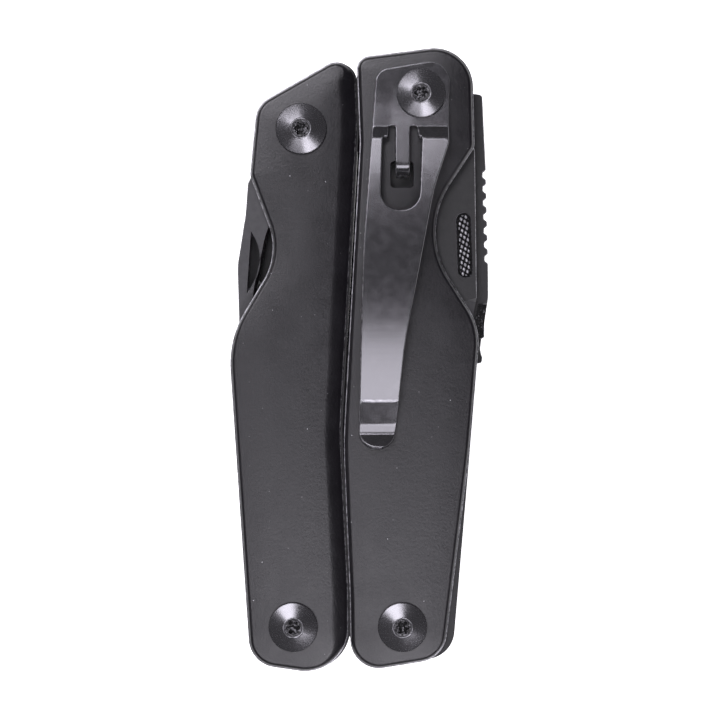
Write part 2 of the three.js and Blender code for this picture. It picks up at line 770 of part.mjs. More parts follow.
function pocketClip() {
  const z0 = HANDLE_THICKNESS - 5;
  const z1 = HANDLE_THICKNESS + 8;
  const body = common(plate(outline(CLIP_OUTLINE), z0, z1, [outline(CLIP_WINDOW)]), bentSheet(CLIP_LINE));
  const tongue = common(plate(outline(TONGUE_OUTLINE), z0, z1), bentSheet(TONGUE_LINE));
  const screwHole = plate(circle(TOOL_PIVOT.right, SHANK_RADIUS + 0.15), z0, z1);
  return cut(join(body, tongue), screwHole);
}

// ---------------------------------------------------------------- assembly
const group = new THREE.Group();

function add(name, geometry, material) {
  const mesh = new THREE.Mesh(geometry, material);
  mesh.name = name;
  group.add(mesh);
}

const TANG_WASHER_RADIUS = 4.8;
const CLIP_TOP = HANDLE_THICKNESS + CLIP_SEAT + CLIP_THICKNESS + 0.05;
const shankHole = (at) => circle(at, SHANK_RADIUS + 0.15);

function addHandle(side) {
  const layers = side === 'right' ? RIGHT_LAYERS : LEFT_LAYERS;
  const scaleHoles = [shankHole(TOOL_PIVOT[side]), shankHole(PLIERS_PIVOT[side])];
  if (side === 'right') {
    scaleHoles.push(outline(TONGUE_SLOT));
  }
  add(`${side}_back_scale`, backScale(side, scaleHoles), scaleBlack);
  add(`${side}_front_scale`, frontScale(side), scaleBlack);
  add(`${side}_back_liner`, liner(side, 'back_liner', BACK_LINER_Z), linerBlack);
  add(`${side}_front_liner`, liner(side, 'front_liner', FRONT_LINER_Z), linerBlack);
  add(`${side}_comb_spring`, comb(side, layers), springSteel);
  add(`${side}_comb_pin`, combPin(COMB_PIN[side]), springSteel);
  add(`${side}_standoff`, standoff(STANDOFF[side]), springSteel);
  add(`${side}_tool_barrel`, barrel(TOOL_PIVOT[side]), screwBlack);
  add(`${side}_pliers_barrel`, barrel(PLIERS_PIVOT[side]), screwBlack);
  const seat = side === 'right' ? CLIP_TOP : HANDLE_THICKNESS;
  add(`${side}_tool_screw`, screw(TOOL_PIVOT[side], HEAD_RADIUS[`${side}_tool`], seat), screwBlack);
  const pliersHead = HEAD_RADIUS[`${side}_pliers`];
  add(`${side}_pliers_screw`, screw(PLIERS_PIVOT[side], pliersHead, HANDLE_THICKNESS), screwBlack);
  for (let between = 1; between < layers; between += 1) {
    const z = CAVITY_Z1 - ((CAVITY_Z1 - CAVITY_Z0) * between) / layers;
    const half = WASHER_THICKNESS[side] / 2;
    const ring = washer(TOOL_PIVOT[side], WASHER_RADIUS, z - half, z + half);
    add(`${side}_tool_washer_${between}`, ring, springSteel);
  }
  const tangWasher = (z0, z1) =>
    washer(PLIERS_PIVOT[side], TANG_WASHER_RADIUS, z0 + FASTENER_GAP, z1 - FASTENER_GAP);
  add(`${side}_tang_washer_front`, tangWasher(CAVITY_Z0, JAW_Z0), springSteel);
  add(`${side}_tang_washer_back`, tangWasher(JAW_Z1, CAVITY_Z1), springSteel);
}

addHandle('right');
addHandle('left');
add('pocket_clip', pocketClip(), clipBlack);

add('jaw_left', jaw('left'), jawSteel);
add('jaw_right', jaw('right'), jawSteel);
add('jaw_pin', jawPin(), jawSteel);

add('plain_blade', tool('right', 0, PLAIN_BLADE, RIGHT_TOOL_THICKNESS), toolBlack);
add('jimped_blade', tool('right', 1, JIMPED_BLADE, RIGHT_TOOL_THICKNESS), toolBlack);
add('metal_file', tool('right', 2, METAL_FILE, RIGHT_TOOL_THICKNESS), toolBlack);
add('wood_saw', tool('right', 3, WOOD_SAW, RIGHT_TOOL_THICKNESS), toolBlack);
add('flat_driver', tool('right', 4, FLAT_DRIVER, RIGHT_TOOL_THICKNESS), toolBlack);

add('awl', tool('left', 0, AWL, LEFT_TOOL_THICKNESS), toolBlack);
add('can_opener', tool('left', 1, CAN_OPENER, LEFT_TOOL_THICKNESS), toolBlack);
add('phillips_driver', phillipsDriver(2), toolBlack);
add('small_driver', tool('left', 3, SMALL_DRIVER, LEFT_TOOL_THICKNESS), toolBlack);

export default group;
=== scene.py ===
"""Looks of the closed multi tool: detailed pieces, procedural finishes, light, floor and camera.

Outlines are in millimetres in the CAD frame; heights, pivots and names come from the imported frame.
"""
import json
import math
from contextlib import contextmanager

import bmesh
import bpy
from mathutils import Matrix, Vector
from mathutils.geometry import delaunay_2d_cdt, tessellate_polygon
from mathutils.kdtree import KDTree


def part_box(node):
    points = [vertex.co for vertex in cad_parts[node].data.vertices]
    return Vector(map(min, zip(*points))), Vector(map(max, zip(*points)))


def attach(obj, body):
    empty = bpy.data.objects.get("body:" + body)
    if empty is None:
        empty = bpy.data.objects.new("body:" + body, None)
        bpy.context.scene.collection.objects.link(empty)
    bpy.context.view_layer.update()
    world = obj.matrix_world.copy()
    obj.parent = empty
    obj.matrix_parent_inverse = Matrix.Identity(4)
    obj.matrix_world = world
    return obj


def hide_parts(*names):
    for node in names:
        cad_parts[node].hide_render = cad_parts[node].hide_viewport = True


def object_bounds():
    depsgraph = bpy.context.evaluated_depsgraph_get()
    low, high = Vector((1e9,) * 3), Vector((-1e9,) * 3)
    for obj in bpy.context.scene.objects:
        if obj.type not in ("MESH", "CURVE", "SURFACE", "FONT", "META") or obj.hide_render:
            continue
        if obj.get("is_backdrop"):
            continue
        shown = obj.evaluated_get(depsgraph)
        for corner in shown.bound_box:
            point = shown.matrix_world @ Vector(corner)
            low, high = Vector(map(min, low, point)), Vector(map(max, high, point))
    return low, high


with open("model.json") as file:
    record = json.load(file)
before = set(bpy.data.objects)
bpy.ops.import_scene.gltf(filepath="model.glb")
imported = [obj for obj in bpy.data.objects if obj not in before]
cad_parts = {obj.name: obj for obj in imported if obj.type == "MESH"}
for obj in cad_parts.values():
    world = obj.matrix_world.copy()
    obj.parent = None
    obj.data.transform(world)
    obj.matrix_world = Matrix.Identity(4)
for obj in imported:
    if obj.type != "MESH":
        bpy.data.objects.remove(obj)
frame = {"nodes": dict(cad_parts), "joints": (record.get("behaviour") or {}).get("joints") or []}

cad_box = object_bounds()

MM = 0.001
JOINTS = {joint["name"]: joint for joint in frame["joints"]}
SIDE = {"right": 1, "left": -1}
HANDLE_BODY = {"right": "clip_handle", "left": "plain_handle"}


def joint_place(name):
    """X and Y of a hinge, in millimetres."""
    position = JOINTS[name]["pos_m"]
    return position[0] / MM, position[1] / MM


def heights(node):
    """Lowest and highest Z of a CAD node, in millimetres."""
    low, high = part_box(node)
    return low.z / MM, high.z / MM


TOOL_PIVOT = {"right": joint_place("plain_blade_hinge"), "left": joint_place("awl_hinge")}
PLIERS_PIVOT = {"right": joint_place("clip_handle_fold"), "left": joint_place("plain_handle_fold")}
PIVOTS = {side: {"tool": TOOL_PIVOT[side], "pliers": PLIERS_PIVOT[side]} for side in SIDE}

# ---- outlines


def outline(corners, step=4.0):
    """Closed outline through (x, y, radius) corners, each rounded by an arc; counterclockwise.

    A fourth value, where a corner has one, is carried to the corner's points as their grind width.
    Returns the points and those values."""
    points, carried = [], []
    count = len(corners)
    for index, corner_values in enumerate(corners):
        x, y, radius = corner_values[:3]
        value = corner_values[3] if len(corner_values) > 3 else 0.0
        corner = Vector((x, y))
        to_before = (Vector(corners[index - 1][:2]) - corner).normalized()
        to_after = (Vector(corners[(index + 1) % count][:2]) - corner).normalized()
        half = math.acos(max(-1.0, min(1.0, to_before.dot(to_after)))) / 2
        if radius == 0:
            points.append(corner)
            carried.append(value)
            continue
        bisector = (to_before + to_after).normalized()
        centre = corner + bisector * (radius / math.sin(half))
        start = corner + to_before * (radius / math.tan(half)) - centre
        cross = to_after.x * to_before.y - to_after.y * to_before.x
        turn = math.copysign(math.pi - 2 * half, cross)
        pieces = max(1, math.ceil(math.degrees(abs(turn)) / step))
        for piece in range(pieces + 1):
            angle = turn * piece / pieces
            arm = Vector((
                start.x * math.cos(angle) - start.y * math.sin(angle),
                start.x * math.sin(angle) + start.y * math.cos(angle),
            ))
            points.append(centre + arm)
            carried.append(value)
    if signed_area(points) < 0:
        points.reverse()
        carried.reverse()
    return points, carried


def round_outline(centre, radius_at, sides):
    """Closed outline round a centre, whose radius depends on the angle; counterclockwise."""
    points = []
    for side in range(sides):
        angle = 2 * math.pi * side / sides
        radius = radius_at(angle)
        points.append(Vector((centre[0] + radius * math.cos(angle), centre[1] + radius * math.sin(angle))))
    return points


def circle(centre, radius, sides=64):
    return round_outline(centre, lambda angle: radius, sides)


def tilted(centre, x, y, degrees):
    """Place of a point given from a centre, turned about that centre."""
    turn = math.radians(degrees)
    return (
        centre[0] + x * math.cos(turn) - y * math.sin(turn),
        centre[1] + x * math.sin(turn) + y * math.cos(turn),
    )


def signed_area(points):
    """Positive when the outline runs counterclockwise."""
    return sum(a.x * b.y - b.x * a.y for a, b in zip(points, points[1:] + points[:1])) / 2


def inset(points, amounts):
    """The outline moved inwards by one amount, or by one amount for each point."""
    count = len(points)
    if not hasattr(amounts, "__len__"):
        amounts = [amounts] * count
    moved = []
    for index, point in enumerate(points):
        along = points[(index + 1) % count] - points[index - 1]
        inward = Vector((-along.y, along.x)).normalized()
        moved.append(point + inward * amounts[index])
    return moved


def inside(loops, x, y):
    """Whether a point is inside the first loop and outside the others."""
    crossings = 0
    for loop in loops:
        for a, b in zip(loop, loop[1:] + loop[:1]):
            if (a.y > y) != (b.y > y) and x < a.x + (b.x - a.x) * (y - a.y) / (b.y - a.y):
                crossings += 1
    return crossings % 2 == 1


# ---- meshes


def ring(points, z):
    """Outline points lifted to a height, or to one height for each point."""
    if not hasattr(z, "__len__"):
        z = [z] * len(points)
    return [(point.x, point.y, height) for point, height in zip(points, z)]


class Solid:
    """Vertices and faces of a closed body, gathered in millimetres."""

    def __init__(self):
        self.vertices = []
        self.faces = []

    def add_ring(self, places):
        first = len(self.vertices)
        self.vertices.extend(places)
        return list(range(first, first + len(places)))

    def wall(self, lower, upper, outward=True):
        count = len(lower)
        for i in range(count):
            j = (i + 1) % count
            quad = (lower[i], lower[j], upper[j], upper[i])
            self.faces.append(quad if outward else quad[::-1])

    def cap(self, rim, inner_rims=(), up=True):
        loops = [[Vector((*self.vertices[i][:2], 0)) for i in loop] for loop in (rim, *inner_rims)]
        order = [i for loop in (rim, *inner_rims) for i in loop]
        for a, b, c in tessellate_polygon(loops):
            face = (order[a], order[b], order[c])
            (xa, ya, _), (xb, yb, _), (xc, yc, _) = (self.vertices[i] for i in face)
            turn = (xb - xa) * (yc - ya) - (yb - ya) * (xc - xa)
            self.faces.append(face if (turn > 0) == up else face[::-1])


def stack(levels, holes=(), pits=()):
    """Closed solid through rings of equal count from bottom to top.

    Each hole is its own list of rings from bottom to top, and goes right through. Each pit is a list
    of rings from the top face down, and its last ring is its floor."""
    solid = Solid()
    rims = [solid.add_ring(level) for level in levels]
    for lower, upper in zip(rims, rims[1:]):
        solid.wall(lower, upper)
    bottoms, tops = [], []
    for hole in holes:
        rings = [solid.add_ring(level) for level in hole]
        for lower, upper in zip(rings, rings[1:]):
            solid.wall(lower, upper, outward=False)
        bottoms.append(rings[0])
        tops.append(rings[-1])
    for pit in pits:
        rings = [solid.add_ring(level) for level in pit]
        for upper, lower in zip(rings, rings[1:]):
            solid.wall(lower, upper, outward=False)
        solid.cap(rings[-1])
        tops.append(rings[0])
    solid.cap(rims[0], bottoms, up=False)
    solid.cap(rims[-1], tops)
    return solid


def rounded_rims(points, z0, z1, edge, segments):
    """Rings of a plate's outside, with a quarter round of the given size on both rims."""
    lower, upper = [], []
    for step in range(segments + 1):
        turn = math.radians(90.0 * step / segments)
        moved = inset(points, edge * (1 - math.sin(turn)))
        drop = edge * (1 - math.cos(turn))
        lower.append(ring(moved, z0 + drop))
        upper.append(ring(moved, z1 - drop))
    return lower, upper[::-1]


def plate(points, z0, z1, edge, holes, hole_edge=0.1):
    """Flat plate with softened rims and chamfered through holes."""
    lower, upper = rounded_rims(points, z0, z1, edge, 2)
    return stack(lower + upper, [through_hole(hole, z0, z1, hole_edge) for hole in holes])


def through_hole(points, z0, z1, edge):
    """Rings of a hole whose two rims are chamfered."""
    wide = inset(points, -edge)
    return [ring(wide, z0), ring(points, z0 + edge), ring(points, z1 - edge), ring(wide, z1)]


def turned_rings(centre, profile, sides):
    """Rings of a solid of revolution about a vertical axis, through (radius, z) pairs."""
    return [ring(circle(centre, radius, sides), z) for radius, z in profile]


SHARP_ANGLE = math.radians(32)
TURNED_RADIUS = "turned_radius"
LATHE_PITCH = 0.09


def mark_radius(piece, centre):
    """Stores each vertex's distance in millimetres from a turned piece's axis, for its grooves."""
    attribute = piece.data.attributes.new(TURNED_RADIUS, "FLOAT", "POINT")
    for vertex, value in zip(piece.data.vertices, attribute.data):
        offset = Vector((vertex.co.x / MM - centre[0], vertex.co.y / MM - centre[1]))
        value.value = offset.length


@contextmanager
def edited(mesh):
    """The mesh opened for editing, and written back afterwards."""
    work = bmesh.new()
    work.from_mesh(mesh)
    yield work
    work.to_mesh(mesh)
    work.free()


def make_piece(name, solid, material, body, replaces=()):
    """Blender object from a solid in millimetres, riding on a CAD body."""
    mesh = bpy.data.meshes.new(name)
    mesh.from_pydata([[value * MM for value in place] for place in solid.vertices], [], solid.faces)
    return finish_piece(name, mesh, material, body, replaces)


def finish_piece(name, mesh, material, body, replaces=()):
    """Cleans a mesh, shades it smooth between its sharp edges and puts it on its body."""
    with edited(mesh) as work:
        bmesh.ops.remove_doubles(work, verts=work.verts, dist=1e-7)
        bmesh.ops.dissolve_degenerate(work, edges=work.edges, dist=1e-7)
        bmesh.ops.recalc_face_normals(work, faces=work.faces)
        for edge in work.edges:
            edge.smooth = edge.is_manifold and edge.calc_face_angle(0.0) < SHARP_ANGLE
        for face in work.faces:
            face.smooth = True
    piece = bpy.data.objects.new(name, mesh)
    bpy.context.scene.collection.objects.link(piece)
    mesh.materials.append(material)
    weights = piece.modifiers.new("weights", "WEIGHTED_NORMAL")
    weights.keep_sharp = True
    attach(piece, body)
    if replaces:
        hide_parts(*replaces)
    return piece


def repaint(piece, material, chosen):
    """Gives another material to the faces for which chosen(centre in mm, normal) holds."""
    mesh = piece.data
    mesh.materials.append(material)
    slot = len(mesh.materials) - 1
    for face in mesh.polygons:
        if chosen(face.center / MM, face.normal):
            face.material_index = slot


# ---- materials


class Nodes:
    """Short way to build a node material on one Principled shader."""

    def __init__(self, name, **constants):
        self.material = bpy.data.materials.new(name)
        self.material.use_nodes = True
        self.tree = self.material.node_tree
        self.shader = self.tree.nodes["Principled BSDF"]
        self.place = self.add("ShaderNodeTexCoord").outputs["Object"]
        for socket, value in constants.items():
            self.shader.inputs[socket].default_value = value

    def add(self, kind, **settings):
        node = self.tree.nodes.new(kind)
        for key, value in settings.items():
            setattr(node, key, value)
        return node

    def link(self, source, target):
        self.tree.links.new(source, target)

    def surface(self, colour, roughness, normal):
        """Links the shader's three main sources and gives the finished material."""
        for source, socket in ((colour, "Base Color"), (roughness, "Roughness"), (normal, "Normal")):
            self.link(source, self.shader.inputs[socket])
        return self.material

    def noise(self, size_mm, detail=3.0, roughness=0.55, stretch=None):
        """Noise whose features are about size_mm across, 0 to 1."""
        node = self.add("ShaderNodeTexNoise")
        node.inputs["Scale"].default_value = 1 / (size_mm * MM)
        node.inputs["Detail"].default_value = detail
        node.inputs["Roughness"].default_value = roughness
        if stretch:
            mapping = self.add("ShaderNodeMapping")
            mapping.inputs["Scale"].default_value = stretch
            self.link(self.place, mapping.inputs["Vector"])
            self.link(mapping.outputs["Vector"], node.inputs["Vector"])
        else:
            self.link(self.place, node.inputs["Vector"])
        return node.outputs["Fac"]

    def span(self, source, low, high, start=0.3, end=0.7):
        """Maps a 0 to 1 value onto low to high, smoothly."""
        node = self.add("ShaderNodeMapRange", interpolation_type="SMOOTHSTEP")
        node.inputs["From Min"].default_value = start
        node.inputs["From Max"].default_value = end
        node.inputs["To Min"].default_value = low
        node.inputs["To Max"].default_value = high
        self.link(source, node.inputs["Value"])
        return node.outputs["Result"]

    def math(self, operation, first, second):
        node = self.add("ShaderNodeMath", operation=operation)
        for socket, value in zip(node.inputs, (first, second)):
            if isinstance(value, (int, float)):
                socket.default_value = value
            else:
                self.link(value, socket)
        return node.outputs["Value"]

    def mix(self, factor, first, second):
        node = self.add("ShaderNodeMix", data_type="RGBA")
        self.link(factor, node.inputs["Factor"])
        for socket, value in ((node.inputs[6], first), (node.inputs[7], second)):
            if isinstance(value, tuple):
                socket.default_value = value
            else:
                self.link(value, socket)
        return node.outputs[2]

    def bump(self, height, depth_mm, below=None):
        node = self.add("ShaderNodeBump")
        node.inputs["Distance"].default_value = depth_mm * MM
        self.link(height, node.inputs["Height"])
        if below is not None:
            self.link(below, node.inputs["Normal"])
        return node.outputs["Normal"]

    def specks(self, spacing_mm, size, share):
        """Sparse small specks: 1 inside a speck, 0 elsewhere."""
        cells = self.add("ShaderNodeTexVoronoi")
        cells.inputs["Scale"].default_value = 1 / (spacing_mm * MM)
        self.link(self.place, cells.inputs["Vector"])
        near = self.math("LESS_THAN", cells.outputs["Distance"], size)
        split = self.add("ShaderNodeSeparateColor")
        self.link(cells.outputs["Color"], split.inputs["Color"])
        chosen = self.math("LESS_THAN", split.outputs["Red"], share)
        return self.math("MULTIPLY", near, chosen)


def grey(value, tint=1.04):
    """A slightly cool grey."""
    return (value, value * 0.99, value * tint, 1.0)


def violet_grey(value):
    """The coating's own tint, seen where nothing shines."""
    return (value, value * 0.84, value * 1.25, 1.0)


def scale_finish():
    """Matte black coating: fine mottling, cloudy patches, pin-prick texture and a little dust."""
    m = Nodes("scale_coating", Metallic=0.0, IOR=1.5)
    fine = m.noise(0.25, 4.0)
    cloud = m.noise(4.0, 5.0, 0.65)
    shade = m.math("MULTIPLY", m.span(fine, 0.8, 1.2), m.span(cloud, 0.82, 1.2))
    base = m.mix(m.math("MULTIPLY", shade, 0.5), violet_grey(0.0015), violet_grey(0.006))
    dust = m.specks(1.5, 0.055, 0.2)
    fluff = m.specks(1.1, 0.08, 0.1)
    colour = m.mix(dust, m.mix(fluff, base, grey(0.09)), grey(0.42))
    rough = m.math("ADD", m.span(cloud, 0.31, 0.36), m.span(fine, -0.03, 0.03))
    skin = m.bump(m.noise(0.4, 4.0, 0.6), 0.024)
    return m.surface(colour, rough, m.bump(cloud, 0.02, skin))


def liner_finish():
    """Black oxide on stamped sheet, with faint lines along the handle."""
    m = Nodes("liner_oxide", Metallic=0.0, IOR=1.33)
    lines = m.noise(0.12, 2.0, 0.5, stretch=(1.0, 1.0, 3.0))
    colour = m.mix(m.noise(2.0, 3.0), grey(0.008), grey(0.025))
    return m.surface(colour, m.span(lines, 0.36, 0.52), m.bump(lines, 0.004))


def clip_finish():
    """Satin black coating, smooth enough to carry soft highlights, with a few faint rubs."""
    m = Nodes("clip_coating", Metallic=0.85, IOR=1.6)
    grain = m.noise(2.0, 1.0)
    rubs = m.noise(1.6, 2.0, 0.5)
    base = m.mix(m.span(rubs, 0.0, 1.0, 0.4, 0.8), grey(0.115), grey(0.125))
    colour = m.mix(m.specks(1.7, 0.035, 0.12), base, grey(0.4))
    return m.surface(colour, m.span(rubs, 0.18, 0.21), m.bump(grain, 0.001))


def screw_finish():
    """Turned and blackened head: rings from the lathe over a glossy coat."""
    m = Nodes("screw_black", Metallic=0.85, IOR=1.6)
    grain = m.noise(0.15, 3.0)
    radius = m.add("ShaderNodeAttribute", attribute_name=TURNED_RADIUS).outputs["Fac"]
    groove = m.math("SINE", m.math("MULTIPLY", radius, 2 * math.pi / LATHE_PITCH), 0.0)
    colour = m.mix(grain, grey(0.12), grey(0.17))
    return m.surface(colour, m.span(grain, 0.21, 0.28), m.bump(groove, 0.0006))


def tool_finish(name, dark, light, shine=1.42):
    """Black oxide on ground steel: grinding lines across the tool and worn patches."""
    m = Nodes(name, Metallic=0.1, IOR=shine)
    ground = m.noise(0.1, 3.0, 0.6, stretch=(0.25, 1.6, 1.0))
    colour = m.mix(m.noise(1.2, 4.0, 0.65), grey(dark), grey(light))
    return m.surface(colour, m.span(ground, 0.42, 0.56), m.bump(ground, 0.004))


def rough_finish():
    """Coarsely ground and blackened bevel, with small bright scratches."""
    m = Nodes("rough_ground_oxide", Metallic=0.2, IOR=1.3)
    coarse = m.noise(0.35, 3.0, 0.7)
    colour = m.mix(m.span(coarse, 0.0, 1.0, 0.58, 0.66), grey(0.003), grey(0.16))
    return m.surface(colour, m.span(coarse, 0.35, 0.5), m.bump(coarse, 0.12))


def jaw_finish():
    """Forged and blackened steel with a fine grain."""
    m = Nodes("jaw_oxide", Metallic=0.35, IOR=1.6)
    grain = m.noise(0.3, 4.0, 0.65)
    colour = m.mix(m.noise(3.0, 3.0), grey(0.03), grey(0.08))
    return m.surface(colour, m.span(grain, 0.3, 0.48), m.bump(grain, 0.012))


def spring_finish():
    """Darkened spring steel with rolling lines."""
    m = Nodes("spring_steel_rolled", Metallic=1.0)
    lines = m.noise(0.1, 3.0, 0.6, stretch=(1.0, 0.15, 1.0))
    colour = m.mix(lines, grey(0.07, 1.0), grey(0.16, 1.0))
    return m.surface(colour, m.span(lines, 0.25, 0.42), m.bump(lines, 0.003))


def worn_finish(name, dull, bright):
    """Coating rubbed thin along an edge, so that the steel shows through; on some rims and edges it is
    also a painted highlight.
    """
    m = Nodes(name, Metallic=1.0)
    rub = m.noise(0.8, 5.0, 0.7)
    colour = m.mix(m.span(rub, 0.0, 1.0, 0.35, 0.65), grey(dull), grey(bright))
    return m.surface(colour, m.span(rub, 0.3, 0.42), m.bump(rub, 0.004))


def recess_finish(name, shine):
    """Painted shade inside a driver recess: a near-black matte coat of low shine, with a little grease and
    dirt as lighter specks.
    """
    m = Nodes(name, Metallic=0.0, IOR=shine)
    shade_and_specks = m.noise(0.4, 4.0, 0.7)
    # The near-black between the specks is painted shade; the lighter specks are grease and dirt.
    colour = m.mix(m.span(shade_and_specks, 0.0, 1.0, 0.5, 0.62), grey(0.004), grey(0.24))
    return m.surface(colour, m.span(shade_and_specks, 0.35, 0.6), m.bump(shade_and_specks, 0.01))


def knurl_finish(low, high):
    """Painted shade in the valleys, fading out between low and high in millimetres, and rubbed steel on
    the tops.
    """
    m = Nodes("knurl_valley_shade", IOR=1.3)
    split = m.add("ShaderNodeSeparateXYZ")
    m.link(m.place, split.inputs["Vector"])
    raised = m.span(split.outputs["Z"], 0.0, 1.0, low * MM, high * MM)
    m.link(raised, m.shader.inputs["Metallic"])
    grain = m.noise(0.12, 3.0)
    # Painted shade: near-black and dull in the valleys, brighter metal towards the tops.
    colour = m.mix(raised, grey(0.004), grey(0.55))
    return m.surface(colour, m.span(grain, 0.3, 0.45), m.bump(grain, 0.004))


WORN = worn_finish("worn_edge", 0.07, 0.25)
# Painted highlight on rims, over a rubbed coat.
RIM_HIGHLIGHT_AND_WEAR = worn_finish("rim_highlight_and_wear", 0.1, 0.42)
CREASE_WEAR = worn_finish("worn_clip_crease", 0.14, 0.36)
# Painted highlight along the edge of the star, over rubbed steel.
STAR_EDGE_HIGHLIGHT = worn_finish("recess_edge_highlight", 0.5, 0.9)
# Painted shade in the driver recesses: on their bottoms, and a shinier one on the screws' shelves.
RECESS_SHADE = recess_finish("recess_painted_shade", 1.15)
SHELF = recess_finish("recess_shelf", 1.4)
SCALE = scale_finish()
LINER = liner_finish()
CLIP = clip_finish()
SCREW = screw_finish()
TOOL = tool_finish("tool_oxide", 0.005, 0.016, 1.44)
BARE_OXIDE = tool_finish("awl_oxide", 0.03, 0.06)
# A darker, less shiny copy of the tool oxide, standing in as painted shade on the file and on the tools
# under the awl.
SHADED_TOOL_OXIDE = tool_finish("tool_oxide_painted_shade", 0.004, 0.012, 1.33)
NICK_OXIDE = tool_finish("nick_oxide", 0.004, 0.014, 1.36)
ROUGH_OXIDE = rough_finish()
JAW = jaw_finish()
SPRING = spring_finish()

# ---- handles

# (x, y, radius) corners of each handle, from the corner beside the other handle's top.
HANDLE_OUTLINE = {
    "right": [
        (-0.6, 51.1, 2.2), (18.95, 53.6, 6.6), (19.35, 36.0, 2.2), (10.1, 21.8, 14.7),
        (20.3, 5.6, 11.0), (18.6, -15.0, 60), (14.2, -50.4, 5.2), (-1.55, -52.95, 4.9),
        (-1.75, -40.0, 30), (-2.85, -14.0, 60), (-0.05, 36.5, 20),
    ],
    "left": [
        (-0.95, 52.55, 3.2), (-17.45, 43.1, 4.5), (-18.6, 31.2, 2.2), (-13.65, 18.0, 11.0),
        (-22.25, 3.5, 17.0), (-18.55, -51.35, 5.0), (-1.95, -53.7, 7.3), (-2.0, -39.0, 30),
        (-3.35, -12.0, 50), (-0.5, 40.0, 20),
    ],
}
# Corners that differ in the plates under the back scales, by their place in the outline.
WIDE_RIGHT = {5: (18.9, -15.0, 60), 6: (15.9, -50.2, 5.2)}
LAPPED_RIGHT = {
    0: (-0.95, 51.1, 2.2), 7: (-2.15, -52.95, 4.9), 8: (-2.35, -40.0, 30), 9: (-3.45, -14.0, 60),
    10: (-0.65, 36.5, 20),
}
LAPPED_LEFT = {
    0: (-0.6, 52.55, 3.2), 6: (-1.35, -53.7, 7.3), 7: (-1.4, -39.0, 30), 8: (-2.75, -12.0, 50),
    9: (0.1, 40.0, 20),
}
SHALLOW_LEFT = {3: (-16.2, 18.0, 11.0)}
CHANGED_CORNERS = {
    "right_back_liner": WIDE_RIGHT,
    "right_front_liner": {**WIDE_RIGHT, **LAPPED_RIGHT},
    "right_front_scale": WIDE_RIGHT,
    "left_back_liner": LAPPED_LEFT,
    "left_front_liner": SHALLOW_LEFT,
    "left_front_scale": SHALLOW_LEFT,
}
LINER_INSET = 0.25
SHANK_HOLE = 1.75
BARREL_HOLE = 2.75
SINK_RADIUS, SINK_DEPTH = 4.15, 1.0
SCALE_EDGE = 0.95
CROWN_DROP = 0.28
CROWN_REACH = 6.0
CROWN_GRID = 1.5
RIM_CHAMFER = 0.08
EDGE_ROLL = 0.75
ROLL_START = 10
ROLL_STEPS = 10
INNER_ROLL = {"right": 0.75, "left": 2.6}
INNER_DROP = {"right": 0.95, "left": 1.15}
LEDGE = 0.2
TONGUE_SLOT = [(5.2, 29.1, 0.6), (5.2, 33.4, 0.6), (8.95, 33.4, 0.6), (8.95, 29.1, 0.6)]


def handle_points(node):
    side = node.split("_")[0]
    changed = CHANGED_CORNERS.get(node, {})
    corners = [changed.get(index, corner) for index, corner in enumerate(HANDLE_OUTLINE[side])]
    return outline(corners, step=3.0)[0]


def subdivide(points, longest=2.0):
    """Adds points along straight runs, so that a width can change smoothly along them."""
    finer = []
    for index, point in enumerate(points):
        after = points[(index + 1) % len(points)]
        pieces = max(1, math.ceil((after - point).length / longest))
        finer.extend(point.lerp(after, piece / pieces) for piece in range(pieces))
    return finer


def roll_shares(side, points):
    """For each outline point, 1 where the wide roll beside the other handle is, and 0 elsewhere."""
    middle = sum(point.x for point in points) / len(points)
    shares = []
    for index, point in enumerate(points):
        along = (points[(index + 1) % len(points)] - points[index - 1]).normalized()
        facing = Vector((along.y, -along.x)).x * -SIDE[side]
        inner = (point.x - middle) * -SIDE[side] > 0
        shares.append(max(0.0, facing) ** 3 if inner else 0.0)
    return shares


def scale_rings(side, points, z0, z1):
    """Outside of a scale: wall, a fine bright ledge at its rim, then the face rolling over.

    The roll is a quarter round, which widens to a straighter slope beside the other handle."""
    shares = roll_shares(side, points)
    drops = [SCALE_EDGE + (INNER_DROP[side] - SCALE_EDGE) * share for share in shares]
    levels = [
        ring(inset(points, 0.1), z0),
        ring(points, z0 + RIM_CHAMFER),
        ring(points, [z1 - drop - RIM_CHAMFER for drop in drops]),
        ring(inset(points, 0.05), [z1 - drop for drop in drops]),
        ring(inset(points, LEDGE), [z1 - drop + 0.03 for drop in drops]),
    ]
    for step in range(ROLL_STEPS + 1):
        turn = math.radians(ROLL_START + (90 - ROLL_START) * step / ROLL_STEPS)
        up, round_reach = math.sin(turn), 1 - math.cos(turn)
        slope_reach = 0.55 * up + 0.45 * round_reach
        reaches = []
        for share in shares:
            width = EDGE_ROLL + (INNER_ROLL[side] - EDGE_ROLL) * share
            straight = share if INNER_ROLL[side] > EDGE_ROLL else 0.0
            reaches.append(LEDGE + width * (round_reach * (1 - straight) + slope_reach * straight))
        levels.append(ring(inset(points, reaches), [z1 - drop * (1 - up) for drop in drops]))
    return levels


def pivot_holes(side, radius):
    """Round holes for a handle's two pivots."""
    return [circle(pivot, radius) for pivot in PIVOTS[side].values()]


def back_scale(side):
    node = f"{side}_back_scale"
    z0, z1 = heights(node)
    points = subdivide(handle_points(node))
    levels = scale_rings(side, points, z0, z1)
    holes = pivot_holes(side, SHANK_HOLE)
    if side == "right":
        holes.append(outline(TONGUE_SLOT, 10)[0])
    solid = stack(levels, [through_hole(hole, z0, z1, 0.12) for hole in holes])
    mesh = crowned(f"{node}_shell", solid, points, z1)
    shell = finish_piece(f"{node}_shell", mesh, SCALE, HANDLE_BODY[side], [node])
    ledge = [inset(points, LEDGE + 0.02)]
    rim = z1 - SCALE_EDGE + 0.1

    def is_ledge(at, normal):
        return at.z < rim and normal.z > 0.3 and not inside(ledge, at.x, at.y)

    repaint(shell, WORN, is_ledge)


